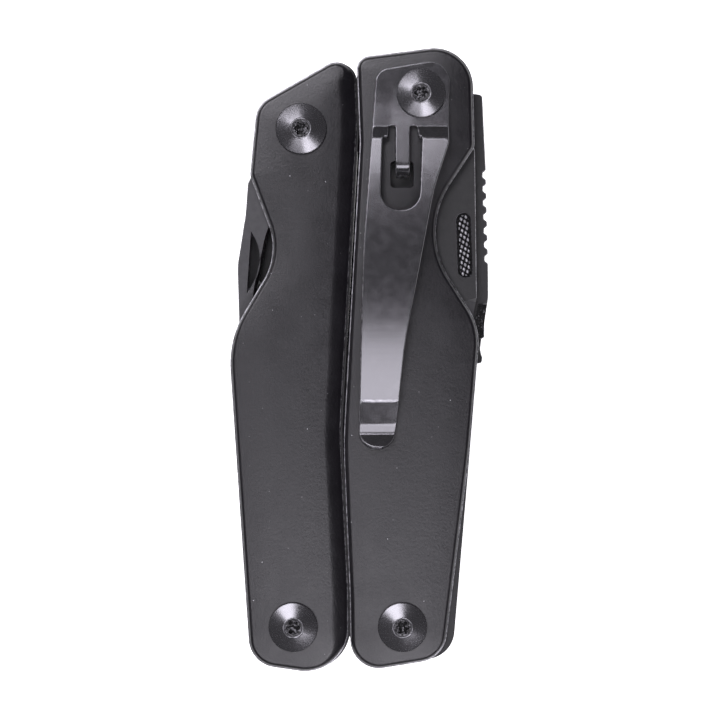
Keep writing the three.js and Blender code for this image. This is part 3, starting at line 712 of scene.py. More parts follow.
def crowned(name, solid, points, top):
    """Mesh of a scale whose face falls away a little towards its edges."""
    mesh = bpy.data.meshes.new(name)
    mesh.from_pydata(solid.vertices, [], solid.faces)
    edge = subdivide(points, 0.4)
    near_edge = KDTree(len(edge))
    for index, point in enumerate(edge):
        near_edge.insert((point.x, point.y, 0), index)
    near_edge.balance()
    with edited(mesh) as work:
        bmesh.ops.remove_doubles(work, verts=work.verts, dist=1e-5)
        cut_face(work, points, top)
        for vertex in work.verts:
            share = (vertex.co.z - (top - SCALE_EDGE)) / SCALE_EDGE
            if share > 0.05:
                distance = near_edge.find((vertex.co.x, vertex.co.y, 0))[2]
                near = max(0.0, distance - LEDGE - EDGE_ROLL)
                vertex.co.z -= CROWN_DROP * share * max(0.0, 1 - near / CROWN_REACH) ** 2
            vertex.co *= MM
    return mesh


def cut_face(work, points, top):
    """Cuts a flat face into small squares, so that it can be curved."""
    for axis, normal in enumerate(((1, 0, 0), (0, 1, 0))):
        low = min(point[axis] for point in points)
        high = max(point[axis] for point in points)
        for step in range(1, int((high - low) / CROWN_GRID) + 1):
            place = Vector(normal) * (low + step * CROWN_GRID)
            faces = [face for face in work.faces if face.calc_center_median().z > top - 1e-4]
            edges = list({edge for face in faces for edge in face.edges})
            verts = list({vertex for face in faces for vertex in face.verts})
            parts = verts + edges + faces
            bmesh.ops.bisect_plane(work, geom=parts, dist=1e-5, plane_co=place, plane_no=normal)


def front_scale(side):
    node = f"{side}_front_scale"
    z0, z1 = heights(node)
    points = subdivide(handle_points(node))
    lower = rounded_rims(points, z0, z1, SCALE_EDGE, 8)[0]
    upper = rounded_rims(points, z0, z1, 0.15, 2)[1]
    holes = []
    for sunk, inner in zip(pivot_holes(side, SINK_RADIUS), pivot_holes(side, BARREL_HOLE)):
        holes.append([
            ring(inset(sunk, -0.12), z0), ring(sunk, z0 + 0.12), ring(sunk, z0 + SINK_DEPTH),
            ring(inner, z0 + SINK_DEPTH), ring(inner, z1),
        ])
    make_piece(f"{node}_shell", stack(lower + upper, holes), SCALE, HANDLE_BODY[side], [node])


def node_centre(node):
    low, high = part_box(node)
    middle = (low + high) / 2
    return middle.x / MM, middle.y / MM


def node_radius(node):
    low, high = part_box(node)
    return (high.x - low.x) / 2 / MM


def liner(side, which):
    node = f"{side}_{which}_liner"
    z0, z1 = heights(node)
    points = inset(handle_points(node), LINER_INSET)
    holes = pivot_holes(side, BARREL_HOLE)
    holes.append(circle(node_centre(f"{side}_comb_pin"), 1.0, 32))
    holes.append(circle(node_centre(f"{side}_standoff"), 1.3, 32))
    if node == "right_back_liner":
        holes.append(outline(TONGUE_SLOT, 10)[0])
    solid = plate(points, z0, z1, edge=0.1, holes=holes)
    make_piece(f"{node}_plate", solid, LINER, HANDLE_BODY[side], [node])


def dress(name, material, width, segments, angle):
    """A CAD node that keeps its shape gets a finish, and its edges are broken."""
    node = frame["nodes"][name]
    node.data.materials.clear()
    node.data.materials.append(material)
    bevel = node.modifiers.new("broken_edges", "BEVEL")
    bevel.width = width * MM
    bevel.segments = segments
    bevel.angle_limit = math.radians(angle)


def handle_pins(side):
    pin = f"{side}_comb_pin"
    z0, z1 = heights(pin)
    radius = node_radius(pin)
    profile = [(radius - 0.15, z0), (radius, z0 + 0.15), (radius, z1 - 0.15), (radius - 0.15, z1)]
    solid = stack(turned_rings(node_centre(pin), profile, 32))
    make_piece(f"{pin}_rod", solid, SPRING, HANDLE_BODY[side], [pin])
    rivet = f"{side}_standoff"
    z0, z1 = heights(rivet)
    body, end, shoulder = node_radius(rivet), 1.2, 1.1
    waist = body * 0.82
    profile = [
        (end - 0.15, z0), (end, z0 + 0.15), (end, z0 + shoulder), (body - 0.1, z0 + shoulder),
        (body, z0 + shoulder + 0.1), (body, z0 + shoulder + 1.2), (waist, z0 + shoulder + 1.7),
        (waist, z1 - shoulder - 1.7), (body, z1 - shoulder - 1.2), (body, z1 - shoulder - 0.1),
        (body - 0.1, z1 - shoulder), (end, z1 - shoulder), (end, z1 - 0.15), (end - 0.15, z1),
    ]
    solid = stack(turned_rings(node_centre(rivet), profile, 48))
    make_piece(f"{rivet}_rivet", solid, SPRING, HANDLE_BODY[side], [rivet])


def washer(side, node):
    """Flat ring with broken edges."""
    z0, z1 = heights(node)
    edge = min(0.12, (z1 - z0) / 4)
    centre = node_centre(node)
    hole = circle(centre, BARREL_HOLE)
    solid = plate(circle(centre, node_radius(node)), z0, z1, edge, holes=[hole], hole_edge=edge)
    make_piece(f"{node}_ring", solid, SPRING, HANDLE_BODY[side], [node])


# ---- fasteners

LOBES = 6
FASTENER_SIDES = 96


def lobed(centre, mean, swing):
    """Outline of a six-lobed driver recess."""
    return round_outline(centre, lambda angle: mean + swing * math.cos(LOBES * angle), FASTENER_SIDES)


RECESS_RIM = 1.62
# How far below the head's top a recess's dish, shelf, star edge, star wall and floor begin.
DISH_DROP, SHELF_DROP, STAR_DROP, STAR_LIP, STAR_FLOOR = 0.05, 0.26, 0.33, 0.42, 1.1


def recess_rings(centre, top):
    """Rings of a driver recess: a dished mouth, then lobed walls down to the floor."""
    return [
        ring(circle(centre, RECESS_RIM, FASTENER_SIDES), top),
        ring(circle(centre, RECESS_RIM - 0.1, FASTENER_SIDES), top - DISH_DROP),
        ring(circle(centre, RECESS_RIM - 0.26, FASTENER_SIDES), top - SHELF_DROP),
        ring(lobed(centre, 1.14, 0.18), top - STAR_DROP),
        ring(lobed(centre, 1.06, 0.18), top - STAR_LIP),
        ring(lobed(centre, 1.02, 0.18), top - STAR_FLOOR),
        ring(circle(centre, 0.4, FASTENER_SIDES), top - STAR_FLOOR - 0.1),
    ]


def paint_fastener(piece, centre, top):
    """Rubbed rim of a driver recess, a painted highlight on its star edge, and painted shade on its dull
    shelf and bottom.
    """
    mark_radius(piece, centre)
    mouth = RECESS_RIM - 0.27

    def distance(at):
        return math.hypot(at.x - centre[0], at.y - centre[1])

    def dropped(low, high):
        """Test for the faces in the mouth that lie between two drops below the head's top."""
        return lambda at, normal: top - high < at.z < top - low and distance(at) < mouth

    repaint(piece, WORN, lambda at, normal: abs(distance(at) - RECESS_RIM) < 0.1)
    # Painted highlight on the edge of the star.
    repaint(piece, STAR_EDGE_HIGHLIGHT, dropped(STAR_DROP, STAR_LIP))
    # Painted shade on the shelf and on the bottom of the recess.
    repaint(piece, SHELF, dropped(SHELF_DROP, STAR_DROP))
    repaint(piece, RECESS_SHADE, dropped(STAR_LIP, math.inf))


def screw(side, place, pivot):
    """Low cone head with a rolled rim round the driver recess, on its shank."""
    node = f"{side}_{place}_screw"
    z0, top = heights(node)
    radius = node_radius(node)
    seat = top - 1.15
    profile = [
        (1.45, z0), (1.6, z0 + 0.15), (1.6, seat), (radius - 0.12, seat), (radius, seat + 0.1),
        (radius, seat + 0.38), (radius - 0.06, seat + 0.5), (radius - 0.18, seat + 0.57),
        (1.86, seat + 1.07), (1.75, seat + 1.12), (1.69, top),
    ]
    levels = turned_rings(pivot, profile, FASTENER_SIDES) + recess_rings(pivot, top)
    head = make_piece(f"{node}_head", stack(levels), SCREW, HANDLE_BODY[side], [node])
    paint_fastener(head, pivot, top)


def barrel(side, place, pivot):
    """Sleeve nut whose sunk flange carries its own driver recess."""
    node = f"{side}_{place}_barrel"
    z0, z1 = heights(node)
    flange, tube, bore = 4.0, 2.6, 1.7
    recess = [
        ring(circle(pivot, 0.4, FASTENER_SIDES), z0 + 0.75),
        ring(lobed(pivot, 1.14, 0.17), z0 + 0.65),
        ring(lobed(pivot, 1.18, 0.17), z0 + 0.16),
        ring(circle(pivot, 1.55, FASTENER_SIDES), z0),
    ]
    profile = [
        (flange - 0.3, z0), (flange - 0.08, z0 + 0.08), (flange, z0 + 0.25), (flange, z0 + 0.72),
        (flange - 0.08, z0 + 0.8), (tube, z0 + 0.8), (tube, z1 - 0.15), (tube - 0.15, z1),
        (bore, z1), (bore, z0 + 3.6), (0.4, z0 + 3.6),
    ]
    levels = recess + turned_rings(pivot, profile, FASTENER_SIDES)
    nut = make_piece(f"{node}_nut", stack(levels), SCREW, HANDLE_BODY[side], [node])
    mark_radius(nut, pivot)
    # Painted shade in the nut's driver recess.
    repaint(nut, RECESS_SHADE, lambda at, normal: math.hypot(at.x - pivot[0], at.y - pivot[1]) < 1.5)


# ---- pocket clip

CLIP_OUTLINE = [
    (2.75, 48.7, 2.4), (15.1, 50.75, 3.4), (14.9, 36.2, 2.0), (12.4, 28.7, 30), (7.55, 3.0, 40),
    (5.7, -15.05, 2.9), (-0.25, -14.6, 2.8), (0.15, 3.0, 40), (0.65, 20.0, 60),
]
# The window's rim, cut in round the tongue that hangs down from the pad.
CLIP_WINDOW = [
    (3.8, 37.3, 0.4), (3.35, 25.0, 3.1), (9.95, 25.0, 3.1), (10.4, 37.3, 0.4), (9.8, 37.3, 0.3),
    (9.55, 39.3, 0.6), (8.45, 39.3, 0.45), (8.35, 30.9, 0.4), (5.95, 30.9, 0.4), (5.95, 39.3, 0.45),
    (4.85, 39.3, 0.5), (4.7, 37.3, 0.3),
]
CLIP_THICKNESS = 0.9
# Side lines of the clip's body and of its tongue: y, rise above the seat, and each bend's radius.
CLIP_RISE = [
    (54.0, 0.0, 0), (44.0, 0.0, 80), (39.2, 0.26, 0.25), (37.1, 1.4, 0.4), (14.0, 3.85, 175),
    (-6.7, 1.55, 0.4), (-10.8, 0.12, 2.0), (-12.5, 0.0, 1.2), (-15.6, 1.95, 0),
]
TONGUE_RISE = [(54.0, 0.0, 0), (44.0, 0.0, 80), (32.2, 0.9, 1.2), (30.7, -1.8, 0)]
CLIP_GAP = 0.15
CLIP_ROW = 0.35
CLIP_COLUMN = 0.7
# The sharp bend below the pad gets a mesh row this far before it and behind it.
BEND, BEND_ROW = CLIP_RISE[2][0], 0.1
CLIP_EDGE = 0.21


def side_line(corners, step=6.0):
    """Open line through (y, rise, radius) corners with its bends rounded, as sorted (y, rise) pairs."""
    line = [corners[0][:2]]
    for before, here, after in zip(corners, corners[1:], corners[2:]):
        corner = Vector(here[:2])
        to_before = (Vector(before[:2]) - corner).normalized()
        to_after = (Vector(after[:2]) - corner).normalized()
        half = math.acos(max(-1.0, min(1.0, to_before.dot(to_after)))) / 2
        reach = here[2] / math.tan(half)
        pieces = max(6, math.ceil(math.degrees(math.pi - 2 * half) / step), math.ceil(2 * reach))
        start, end = corner + to_before * reach, corner + to_after * reach
        for piece in range(pieces + 1):
            t = piece / pieces
            line.append(tuple(start * (1 - t) ** 2 + corner * (2 * t * (1 - t)) + end * t * t))
    line.append(corners[-1][:2])
    return sorted(line)


def height_on(line, y):
    for (y0, z0), (y1, z1) in zip(line, line[1:]):
        if y0 <= y <= y1:
            return z0 + (z1 - z0) * (y - y0) / max(y1 - y0, 1e-9)
    return line[0][1] if y < line[0][0] else line[-1][1]


CLIP_LINES = side_line(CLIP_RISE), side_line(TONGUE_RISE)


def meshed_sheet(loops):
    """Even triangle mesh of a flat sheet with holes: points, faces and each loop's point numbers."""
    places, edges, spans = [], [], []
    for loop in loops:
        first = len(places)
        places += loop
        edges += [(first + i, first + (i + 1) % len(loop)) for i in range(len(loop))]
        spans.append(range(first, len(places)))
    xs, ys = [point.x for point in loops[0]], [point.y for point in loops[0]]
    columns, rows = int((max(xs) - min(xs)) / CLIP_COLUMN), int((max(ys) - min(ys)) / CLIP_ROW)
    row_places = [min(ys) + along * CLIP_ROW for along in range(1, rows + 1)]
    row_places += [BEND - BEND_ROW, BEND + BEND_ROW]
    for across in range(1, columns + 1):
        x = min(xs) + across * CLIP_COLUMN
        places += [Vector((x, y)) for y in row_places if inside(loops, x, y)]
    flat, _, faces, sources = delaunay_2d_cdt(places, edges, [], 0, 1e-5)[:4]
    number = {source: index for index, group in enumerate(sources) for source in group}
    kept = []
    for face in faces:
        a, b, c = (flat[i] for i in face)
        middle = (a + b + c) / 3
        area = abs((b.x - a.x) * (c.y - a.y) - (b.y - a.y) * (c.x - a.x)) / 2
        if area > 1e-5 and inside(loops, middle.x, middle.y):
            kept.append(tuple(face))
    return flat, kept, [[number[i] for i in span] for span in spans]


def clip_rise(x, y):
    """Rise of the clip's sheet above its seat: the body's line, or the tongue's near the tongue."""
    tongue_middle, tongue_half, shoulder = 7.17, 1.32, 1.0
    share = 1.0
    if y > 30.0:
        share = min(1.0, max(0.0, (abs(x - tongue_middle) - tongue_half) / shoulder))
        share = share * share * (3 - 2 * share)
    return height_on(CLIP_LINES[0], y) * share + height_on(CLIP_LINES[1], y) * (1 - share)


def clip_slope(x, y):
    return (clip_rise(x, y + 0.05) - clip_rise(x, y - 0.05)) / 0.1


def on_clip(point, seat, height):
    """A point of the bent sheet, some height above or below its middle layer."""
    slope = clip_slope(point.x, point.y)
    along = math.hypot(1.0, slope)
    level = seat + clip_rise(point.x, point.y)
    return point.x, point.y - height * slope / along, level + height / along


def is_highlighted_rim(loops, at, normal):
    """Rubbed rims, with a painted highlight where they face away from the handle's outer edge; rims facing
    that edge keep the dark coat.
    """
    return 0.3 < normal.z < 0.9 and normal.x < 0.2 and not inside(loops, at.x, at.y)


def shade_sheet(sheet, insides, seat):
    """Gives the sheet's two broad faces the exact normals of its bends."""
    sheet.modifiers.clear()
    reach = [inset(loop, -0.03 if index == 0 else 0.03) for index, loop in enumerate(insides)]
    normals = []
    for vertex in sheet.data.vertices:
        x, y, z = vertex.co / MM
        height = z - seat - clip_rise(x, y)
        slope = clip_slope(x, y)
        y += height * slope / (1 + slope * slope)
        normal = Vector((0, -clip_slope(x, y), 1)).normalized() * math.copysign(1, height)
        normals.append(normal if inside(reach, x, y) else Vector((0, 0, 0)))
    sheet.data.normals_split_custom_set_from_vertices(normals)


def bent_sheet(rims, insides, seat):
    """The clip's closed solid: two bent faces, and rounded edges between them on every rim."""
    flat, faces, loops = meshed_sheet(insides)
    half = CLIP_THICKNESS / 2
    solid = Solid()
    upper = solid.add_ring([on_clip(point, seat, half) for point in flat])
    lower = solid.add_ring([on_clip(point, seat, -half) for point in flat])
    for face in faces:
        solid.faces.append(tuple(upper[i] for i in face))
        solid.faces.append(tuple(lower[i] for i in reversed(face)))
    for rim, inner, loop in zip(rims, insides, loops):
        rings = [[upper[i] for i in loop]]
        for side, turns in ((1, (30, 60, 90)), (-1, (90, 60, 30))):
            for turn in turns:
                reach = math.sin(math.radians(turn))
                height = side * (half - CLIP_EDGE * (1 - math.cos(math.radians(turn))))
                moved = [a.lerp(b, reach) for a, b in zip(inner, rim)]
                rings.append(solid.add_ring([on_clip(point, seat, height) for point in moved]))
        rings.append([lower[i] for i in loop])
        for above, below in zip(rings, rings[1:]):
            solid.wall(below, above)
    return solid


def join_quads(mesh):
    """Joins pairs of triangles that lie nearly flat and square."""
    flat, square = math.radians(8), math.radians(20)
    with edited(mesh) as work:
        bmesh.ops.join_triangles(
            work, faces=work.faces, angle_face_threshold=flat, angle_shape_threshold=square,
        )


def pocket_clip():
    """One bent sheet: pad, joggle, arched body with its window and tongue, crease and turned-up lip."""
    rims = [
        subdivide(outline(CLIP_OUTLINE, 5)[0], 0.7),
        subdivide(outline(CLIP_WINDOW, 15)[0], 0.7),
        circle(TOOL_PIVOT["right"], SHANK_HOLE, 48),
    ]
    insides = [inset(rim, CLIP_EDGE if index == 0 else -CLIP_EDGE) for index, rim in enumerate(rims)]
    seat = heights("right_back_scale")[1] + CLIP_GAP + CLIP_THICKNESS / 2
    solid = bent_sheet(rims, insides, seat)
    sheet = make_piece("pocket_clip_sheet", solid, CLIP, "clip_handle", ["pocket_clip"])
    join_quads(sheet.data)
    crease = CLIP_RISE[5][0]

    def at_crease(at, normal):
        return crease - 0.3 < at.y < crease + 0.05 and at.z > seat + 1.0

    # Painted highlight on the clip's rims, except on the side towards the handle's outer edge.
    repaint(sheet, RIM_HIGHLIGHT_AND_WEAR, lambda at, normal: is_highlighted_rim(insides, at, normal))
    repaint(sheet, CREASE_WEAR, at_crease)
    shade_sheet(sheet, insides, seat)


# ---- folding tools


def tool_points(side, corners, step=4.0):
    """Outline from (outward, down, radius, grind) corners measured from a handle's tool pivot."""
    x, y = TOOL_PIVOT[side]
    placed = [(x + SIDE[side] * c[0], y - c[1], *c[2:]) for c in corners]
    return outline(placed, step)


TANG_TOP = {
    "right": [(-5.8, -5.8, 5.6), (5.8, -5.8, 5.6)],
    "left": [(-5.3, -5.3, 5.1), (5.3, -5.3, 5.1)],
}
TANG_NECK = {
    "right": [(-3.0, 5.4, 2), (-5.8, 0.8, 3)],
    "left": [(-2.8, 5.0, 2), (-5.3, 0.8, 3)],
}

PLAIN_BLADE = [
    (6.4, 3.5, 2), (9.3, 9.0, 3), (9.62, 34.2, 1), (9.5, 35.0, 1, 2.0), (8.3, 40.5, 8, 2.4),
    (3.2, 58.0, 0.5, 0.4), (-2.2, 48.0, 16, 3.4), (-3.3, 36.0, 12, 3.4), (-3.4, 20.5, 1.5, 0.1),
    (-5.5, 17.4, 1.0), (-5.5, 10.2, 1.0), (-3.2, 8.4, 0.8),
]
JIMP_START, JIMP_PITCH, JIMP_COUNT, JIMP_DEPTH = 13.1, 2.39, 7, 0.55


def jimped_back():
    """Square shoulder beside the pivot, then seven round notches."""
    back = [(6.3, -1.2, 1.2), (10.7, -0.6, 0.7), (11.0, 6.0, 6)]
    for notch in range(JIMP_COUNT):
        down = JIMP_START + notch * JIMP_PITCH
        out = 11.3 + 0.06 * notch
        back += [(out, down - 0.8, 0.35), (out - JIMP_DEPTH, down - 0.4, 0.35)]
        back += [(out - JIMP_DEPTH, down + 0.4, 0.35), (out, down + 0.8, 0.35)]
    return back


JIMPED_BLADE = jimped_back() + [
    (11.75, 34.0, 4, 0.1), (11.62, 34.9, 0, 0.1), (11.55, 35.4, 0, 1.6), (10.8, 40.5, 8, 1.9),
    (4.2, 59.5, 0.5, 0.4), (-1.6, 49.0, 16, 3.2), (-3.0, 36.0, 12, 3.2), (-3.2, 12.0, 2, 0.1),
]
METAL_FILE = [
    (6.6, 2.5, 2), (9.6, 9.0, 3), (11.2, 34.0, 6), (11.2, 41.0, 0.5), (1.2, 43.5, 1.2), (0.4, 12.0, 3),
]
SAW_TEETH, SAW_PITCH = 12, 2.4


def saw_teeth():
    """The saw's inner edge: triangular teeth from the tip back to the tang."""
    teeth = []
    for tooth in range(SAW_TEETH):
        down = 50.0 - tooth * SAW_PITCH
        teeth += [(-0.4, down, 0.05), (0.9, down - SAW_PITCH / 2, 0.1)]
    return teeth


WOOD_SAW = [
    (6.6, 2.5, 2), (9.4, 9.0, 3), (11.0, 30.0, 6), (10.85, 41.0, 4), (10.6, 43.0, 2), (11.0, 44.4, 0.6),
    (10.9, 45.3, 0.5), (9.4, 45.5, 0.8), (8.4, 48.0, 3), (6.0, 57.0, 1.5), (1.2, 55.5, 1.5),
    *saw_teeth(), (0.9, 16.0, 1),
]
FLAT_TIP, SMALL_TIP = 44.5, 37.5
FLAT_DRIVER = [
    (6.4, 2.5, 2), (8.6, 9.0, 4), (9.0, 27.0, 4), (7.9, 36.0, 2), (7.9, FLAT_TIP, 0),
    (7.9, 48.0, 0.3, 2.5), (1.9, 48.0, 0.3, 2.5), (1.9, FLAT_TIP, 0), (1.9, 36.0, 2), (0.6, 27.0, 4),
    (0.4, 12.0, 3),
]
AWL = [
    (6.0, 3.0, 2), (9.15, 8.9, 1.2), (9.5, 14.0, 8), (10.9, 23.0, 9), (10.6, 33.5, 12),
    (9.7, 44.0, 0.4, 0.3), (7.65, 27.0, 20, 0.5), (5.6, 17.0, 10, 0.4), (2.0, 11.0, 5),
]
CAN_OPENER = [
    (6.0, 3.0, 2), (8.2, 9.0, 3), (8.4, 24.0, 3), (4.4, 31.0, 1.5, 1.0), (2.2, 30.2, 0.4, 0.8),
    (4.2, 26.0, 1.6), (1.8, 23.4, 1.0), (-2.6, 24.4, 0.4), (-2.6, 12.0, 3),
]
SMALL_DRIVER = [
    (6.0, 3.0, 2), (7.6, 9.0, 4), (7.4, 22.0, 3), (5.8, 29.0, 2), (5.8, SMALL_TIP, 0),
    (5.8, 40.0, 0.2, 2.0), (2.3, 40.0, 0.2, 2.0), (2.3, SMALL_TIP, 0), (2.3, 29.0, 2), (-0.6, 22.0, 3),
    (-0.8, 11.0, 3),
]
TOOL_EDGE = 0.12
CUTTING_EDGE = 0.04
# A grind at least this wide thins its rim all the way to the cutting edge.
FULL_GRIND = 0.3


def ground_plate(points, grinds, z0, z1, holes=(), pits=(), tip=None):
    """Plate whose rim is softened, and ground down to a thin edge where its corners say so.

    A driver's faces end square at the height tip, and slope from there to its edge."""
    middle = (z0 + z1) / 2
    reach = [TOOL_EDGE if tip else max(TOOL_EDGE, grind) for grind in grinds]
    full_lift = middle - z0 - CUTTING_EDGE - TOOL_EDGE
    lift = [TOOL_EDGE + full_lift * min(1.0, grind / FULL_GRIND) for grind in grinds]
    inner = inset(points, reach)
    if tip:
        inner = [Vector((point.x, max(point.y, tip))) for point in inner]
    levels = [
        ring(inner, z0),
        ring(points, [z0 + value for value in lift]),
        ring(points, [z1 - value for value in lift]),
        ring(inner, z1),
    ]
    return stack(levels, [through_hole(hole, z0, z1, 0.1) for hole in holes], pits)


def folding_tool(name, side, body_corners, pits=(), material=TOOL, facet=None, tip_down=None):
    z0, z1 = heights(name)
    corners = TANG_TOP[side] + list(body_corners) + TANG_NECK[side]
    points, grinds = tool_points(side, corners)
    holes = [circle(TOOL_PIVOT[side], BARREL_HOLE)]
    tip = TOOL_PIVOT[side][1] - tip_down if tip_down else None
    solid = ground_plate(points, grinds, z0, z1, holes, pits, tip)
    blank = make_piece(f"{name}_blank", solid, material, name, [name])
    if facet:
        ground = z1 - TOOL_EDGE * 0.8
        repaint(blank, facet, lambda at, normal: at.z < ground and 0.3 < normal.z < 0.995)
    repaint(blank, WORN, lambda at, normal: at.z > z1 - TOOL_EDGE and 0.6 < normal.z < 0.8)
    return blank


THUMB = {"across": 2.4, "length": 11.0, "depth": 0.5, "out": 7.5, "down": 25.3, "tilt": 2.0}
KNURL_PITCH = 0.86
KNURL_HEIGHT = 0.42


def stadium(centre, length, width, tilt_degrees, step=8):
    """Long outline with round ends."""
    half = (length - width) / 2
    radius = width / 2
    points = []
    for end, start in ((1, 0), (-1, 180)):
        for angle in range(start, start + 180 + step, step):
            turn = math.radians(min(angle, start + 180))
            x, y = radius * math.cos(turn), end * half + radius * math.sin(turn)
            points.append(Vector(tilted(centre, x, y, tilt_degrees)))
    return points


def thumb_recess_place():
    x, y = TOOL_PIVOT["right"]
    return x + THUMB["out"], y - THUMB["down"]


def thumb_recess_pit(top):
    """Rings of the plain blade's thumb recess, from the face down."""
    mouth = stadium(thumb_recess_place(), THUMB["length"], THUMB["across"], THUMB["tilt"])
    floor = inset(mouth, 0.12)
    return [ring(inset(mouth, -0.08), top), ring(mouth, top - 0.08), ring(floor, top - THUMB["depth"])]


# Direction, closeness and sharpness of the two sets of cuts that make the knurling.
KNURL_CUTS = ((0.55, 0.8, 1.15, 0.7), (1.6, -0.5, 0.75, 0.6))


def knurled_pad(top):
    """Raised knurling on the floor of the thumb recess."""
    centre = thumb_recess_place()
    floor = top - THUMB["depth"] + 0.02
    width, length = THUMB["across"] - 0.3, THUMB["length"] - 0.3
    columns, rows = 30, 130

    def place_at(row, column):
        y = (row / rows - 0.5) * length
        beyond = max(0.0, abs(y) - (length - width) / 2)
        half = math.sqrt(max(1e-4, (width / 2) ** 2 - beyond**2))
        x = (column / columns * 2 - 1) * half
        rise = KNURL_HEIGHT
        for across, along, closeness, sharpness in KNURL_CUTS:
            wave = math.sin(math.pi * (across * x + along * y) / KNURL_PITCH * closeness)
            rise *= abs(wave) ** sharpness
        rim = min(1.0, (half - abs(x)) / 0.25, (length / 2 - abs(y)) / 0.25)
        return *tilted(centre, x, y, THUMB["tilt"]), floor + rise * max(0.0, rim)

    solid = height_field(rows, columns, place_at, floor - 0.15)
    # The knurling's valleys get painted shade below these heights.
    finish = knurl_finish(floor + 0.45 * KNURL_HEIGHT, floor + 0.85 * KNURL_HEIGHT)
    make_piece("plain_blade_knurling", solid, finish, "plain_blade")


def height_field(rows, columns, place_at, z, peaked=False):
    """Solid between a grid of places and a flat underside; a peaked one's squares are halved."""
    solid = Solid()
    grid = {}
    for row in range(rows + 1):
        for column in range(columns + 1):
            grid[row, column] = len(solid.vertices)
            solid.vertices.append(place_at(row, column))
    for row in range(rows):
        for column in range(columns):
            a, b = grid[row, column], grid[row, column + 1]
            c, d = grid[row + 1, column + 1], grid[row + 1, column]
            if not peaked:
                solid.faces.append((a, b, c, d))
            elif (row + column) % 2 == 0:
                solid.faces += [(a, b, d), (b, c, d)]
            else:
                solid.faces += [(a, b, c), (a, c, d)]
    rim = [grid[0, column] for column in range(columns)]
    rim += [grid[row, columns] for row in range(rows)]
    rim += [grid[rows, column] for column in range(columns, 0, -1)]
    rim += [grid[row, 0] for row in range(rows, 0, -1)]
    under = solid.add_ring([(*solid.vertices[i][:2], z) for i in rim])
    solid.wall(under, rim)
    solid.cap(under, up=False)
    return solid


NICK = {
    "top_out": 8.6, "bottom_out": 9.35, "top_down": 16.9, "bottom_down": 27.9, "bulge": 1.95,
    "depth": 0.85, "shallow": 0.06, "wall": 0.14,
}


def nail_nick_pit(top):
    """Rings of the awl's nail nick: deepest along its straight side, running out at its round side."""
    x, y = TOOL_PIVOT["left"]
    start = Vector((x - NICK["top_out"], y - NICK["top_down"]))
    end = Vector((x - NICK["bottom_out"], y - NICK["bottom_down"]))
    along = (end - start).normalized()
    across = Vector((-along.y, along.x))
    if across.x < 0:
        across = -across
    pieces = 18
    straight = [start.lerp(end, piece / pieces) for piece in range(pieces + 1)]
    curved = []
    for piece in range(pieces - 1, 0, -1):
        t = piece / pieces
        bow = NICK["bulge"] * (1 - (2 * t - 1) ** 2) * (1.12 - 0.25 * t)
        curved.append(start.lerp(end, t) + across * bow)
    mouth = straight + curved
    ramps = [min(1.0, 8 * min(piece, pieces - piece) / pieces) for piece in range(pieces + 1)]
    depths = [NICK["depth"] * ramp + 0.02 for ramp in ramps] + [NICK["shallow"]] * len(curved)
    if signed_area(mouth) < 0:
        mouth.reverse()
        depths.reverse()
    return [ring(mouth, top), ring(inset(mouth, NICK["wall"]), [top - depth for depth in depths])]


def file_teeth(z_face, up):
    """Cross-cut teeth on one face of the file."""
    name = "metal_file"
    x, y = TOOL_PIVOT["right"]
    pitch, height, valley = 0.6, 0.12, 0.02
    out0, out1, down0, down1 = 1.9, 10.7, 13.0, 40.4
    tip_width, widening = out1 - out0 - 1.4, 1.2
    columns, rows = int((out1 - out0) / pitch) * 2, int((down1 - down0) / pitch) * 2
    side = 1 if up else -1

    def place_at(row, column):
        width = tip_width + widening * row / rows
        rise = 0.0
        if 0 < row < rows and 0 < column < columns:
            rise = height if (row + column) % 2 == 1 else valley
        across = x + out0 + width * column / columns
        return across, y - down1 + (down1 - down0) * row / rows, z_face + rise * side

    solid = height_field(rows, columns, place_at, z_face - 0.1 * side, peaked=True)
    make_piece(f"{name}_teeth_{'back' if up else 'front'}", solid, SHADED_TOOL_OXIDE, name)


def phillips_driver():
    """Flat shank with a turned bar and a four-fluted point."""
    name = "phillips_driver"
    z0, z1 = heights(name)
    bar_radius = (z1 - z0) / 2
    middle = (z0 + z1) / 2
    shank_half = bar_radius - 0.2
    shank_end, bar_out = 27.0, 4.05
    shank = [(6.0, 3.0, 2), (6.9, 9.0, 4), (6.7, shank_end, 0.6), (1.4, shank_end, 0.6), (1.0, 11.0, 3)]
    corners = TANG_TOP["left"] + shank + TANG_NECK["left"]
    points, grinds = tool_points("left", corners)
    holes = [circle(TOOL_PIVOT["left"], BARREL_HOLE)]
    solid = ground_plate(points, grinds, middle - shank_half, middle + shank_half, holes)
    make_piece(f"{name}_shank", solid, SHADED_TOOL_OXIDE, name, [name])
    x, y = TOOL_PIVOT["left"]
    sides = 64
    # Along the bar: distance past the shank's end, radius, and how deep the four flutes are cut.
    stations = [
        (-2.2, bar_radius * 0.5, 0.0), (-2.0, bar_radius, 0.0), (9.0, bar_radius, 0.0),
        (11.0, bar_radius, 0.28), (13.4, bar_radius * 0.62, 0.45), (14.8, 0.5, 0.35), (15.0, 0.2, 0.2),
    ]
    bar = Solid()
    rims = []
    for along, radius, flute in stations:
        places = []
        for side in range(sides):
            angle = 2 * math.pi * side / sides
            cut = radius * (1 - flute * (0.5 - 0.5 * math.cos(4 * angle)) ** 0.6)
            across, up = cut * math.cos(angle), cut * math.sin(angle)
            places.append((x - bar_out + across, y - shank_end - along, middle + up))
        rims.append(bar.add_ring(places))
    for lower, upper in zip(rims, rims[1:]):
        bar.wall(lower, upper)
    bar.faces.append(tuple(rims[0]))
    bar.faces.append(tuple(reversed(rims[-1])))
    make_piece(f"{name}_bar", bar, SHADED_TOOL_OXIDE, name)


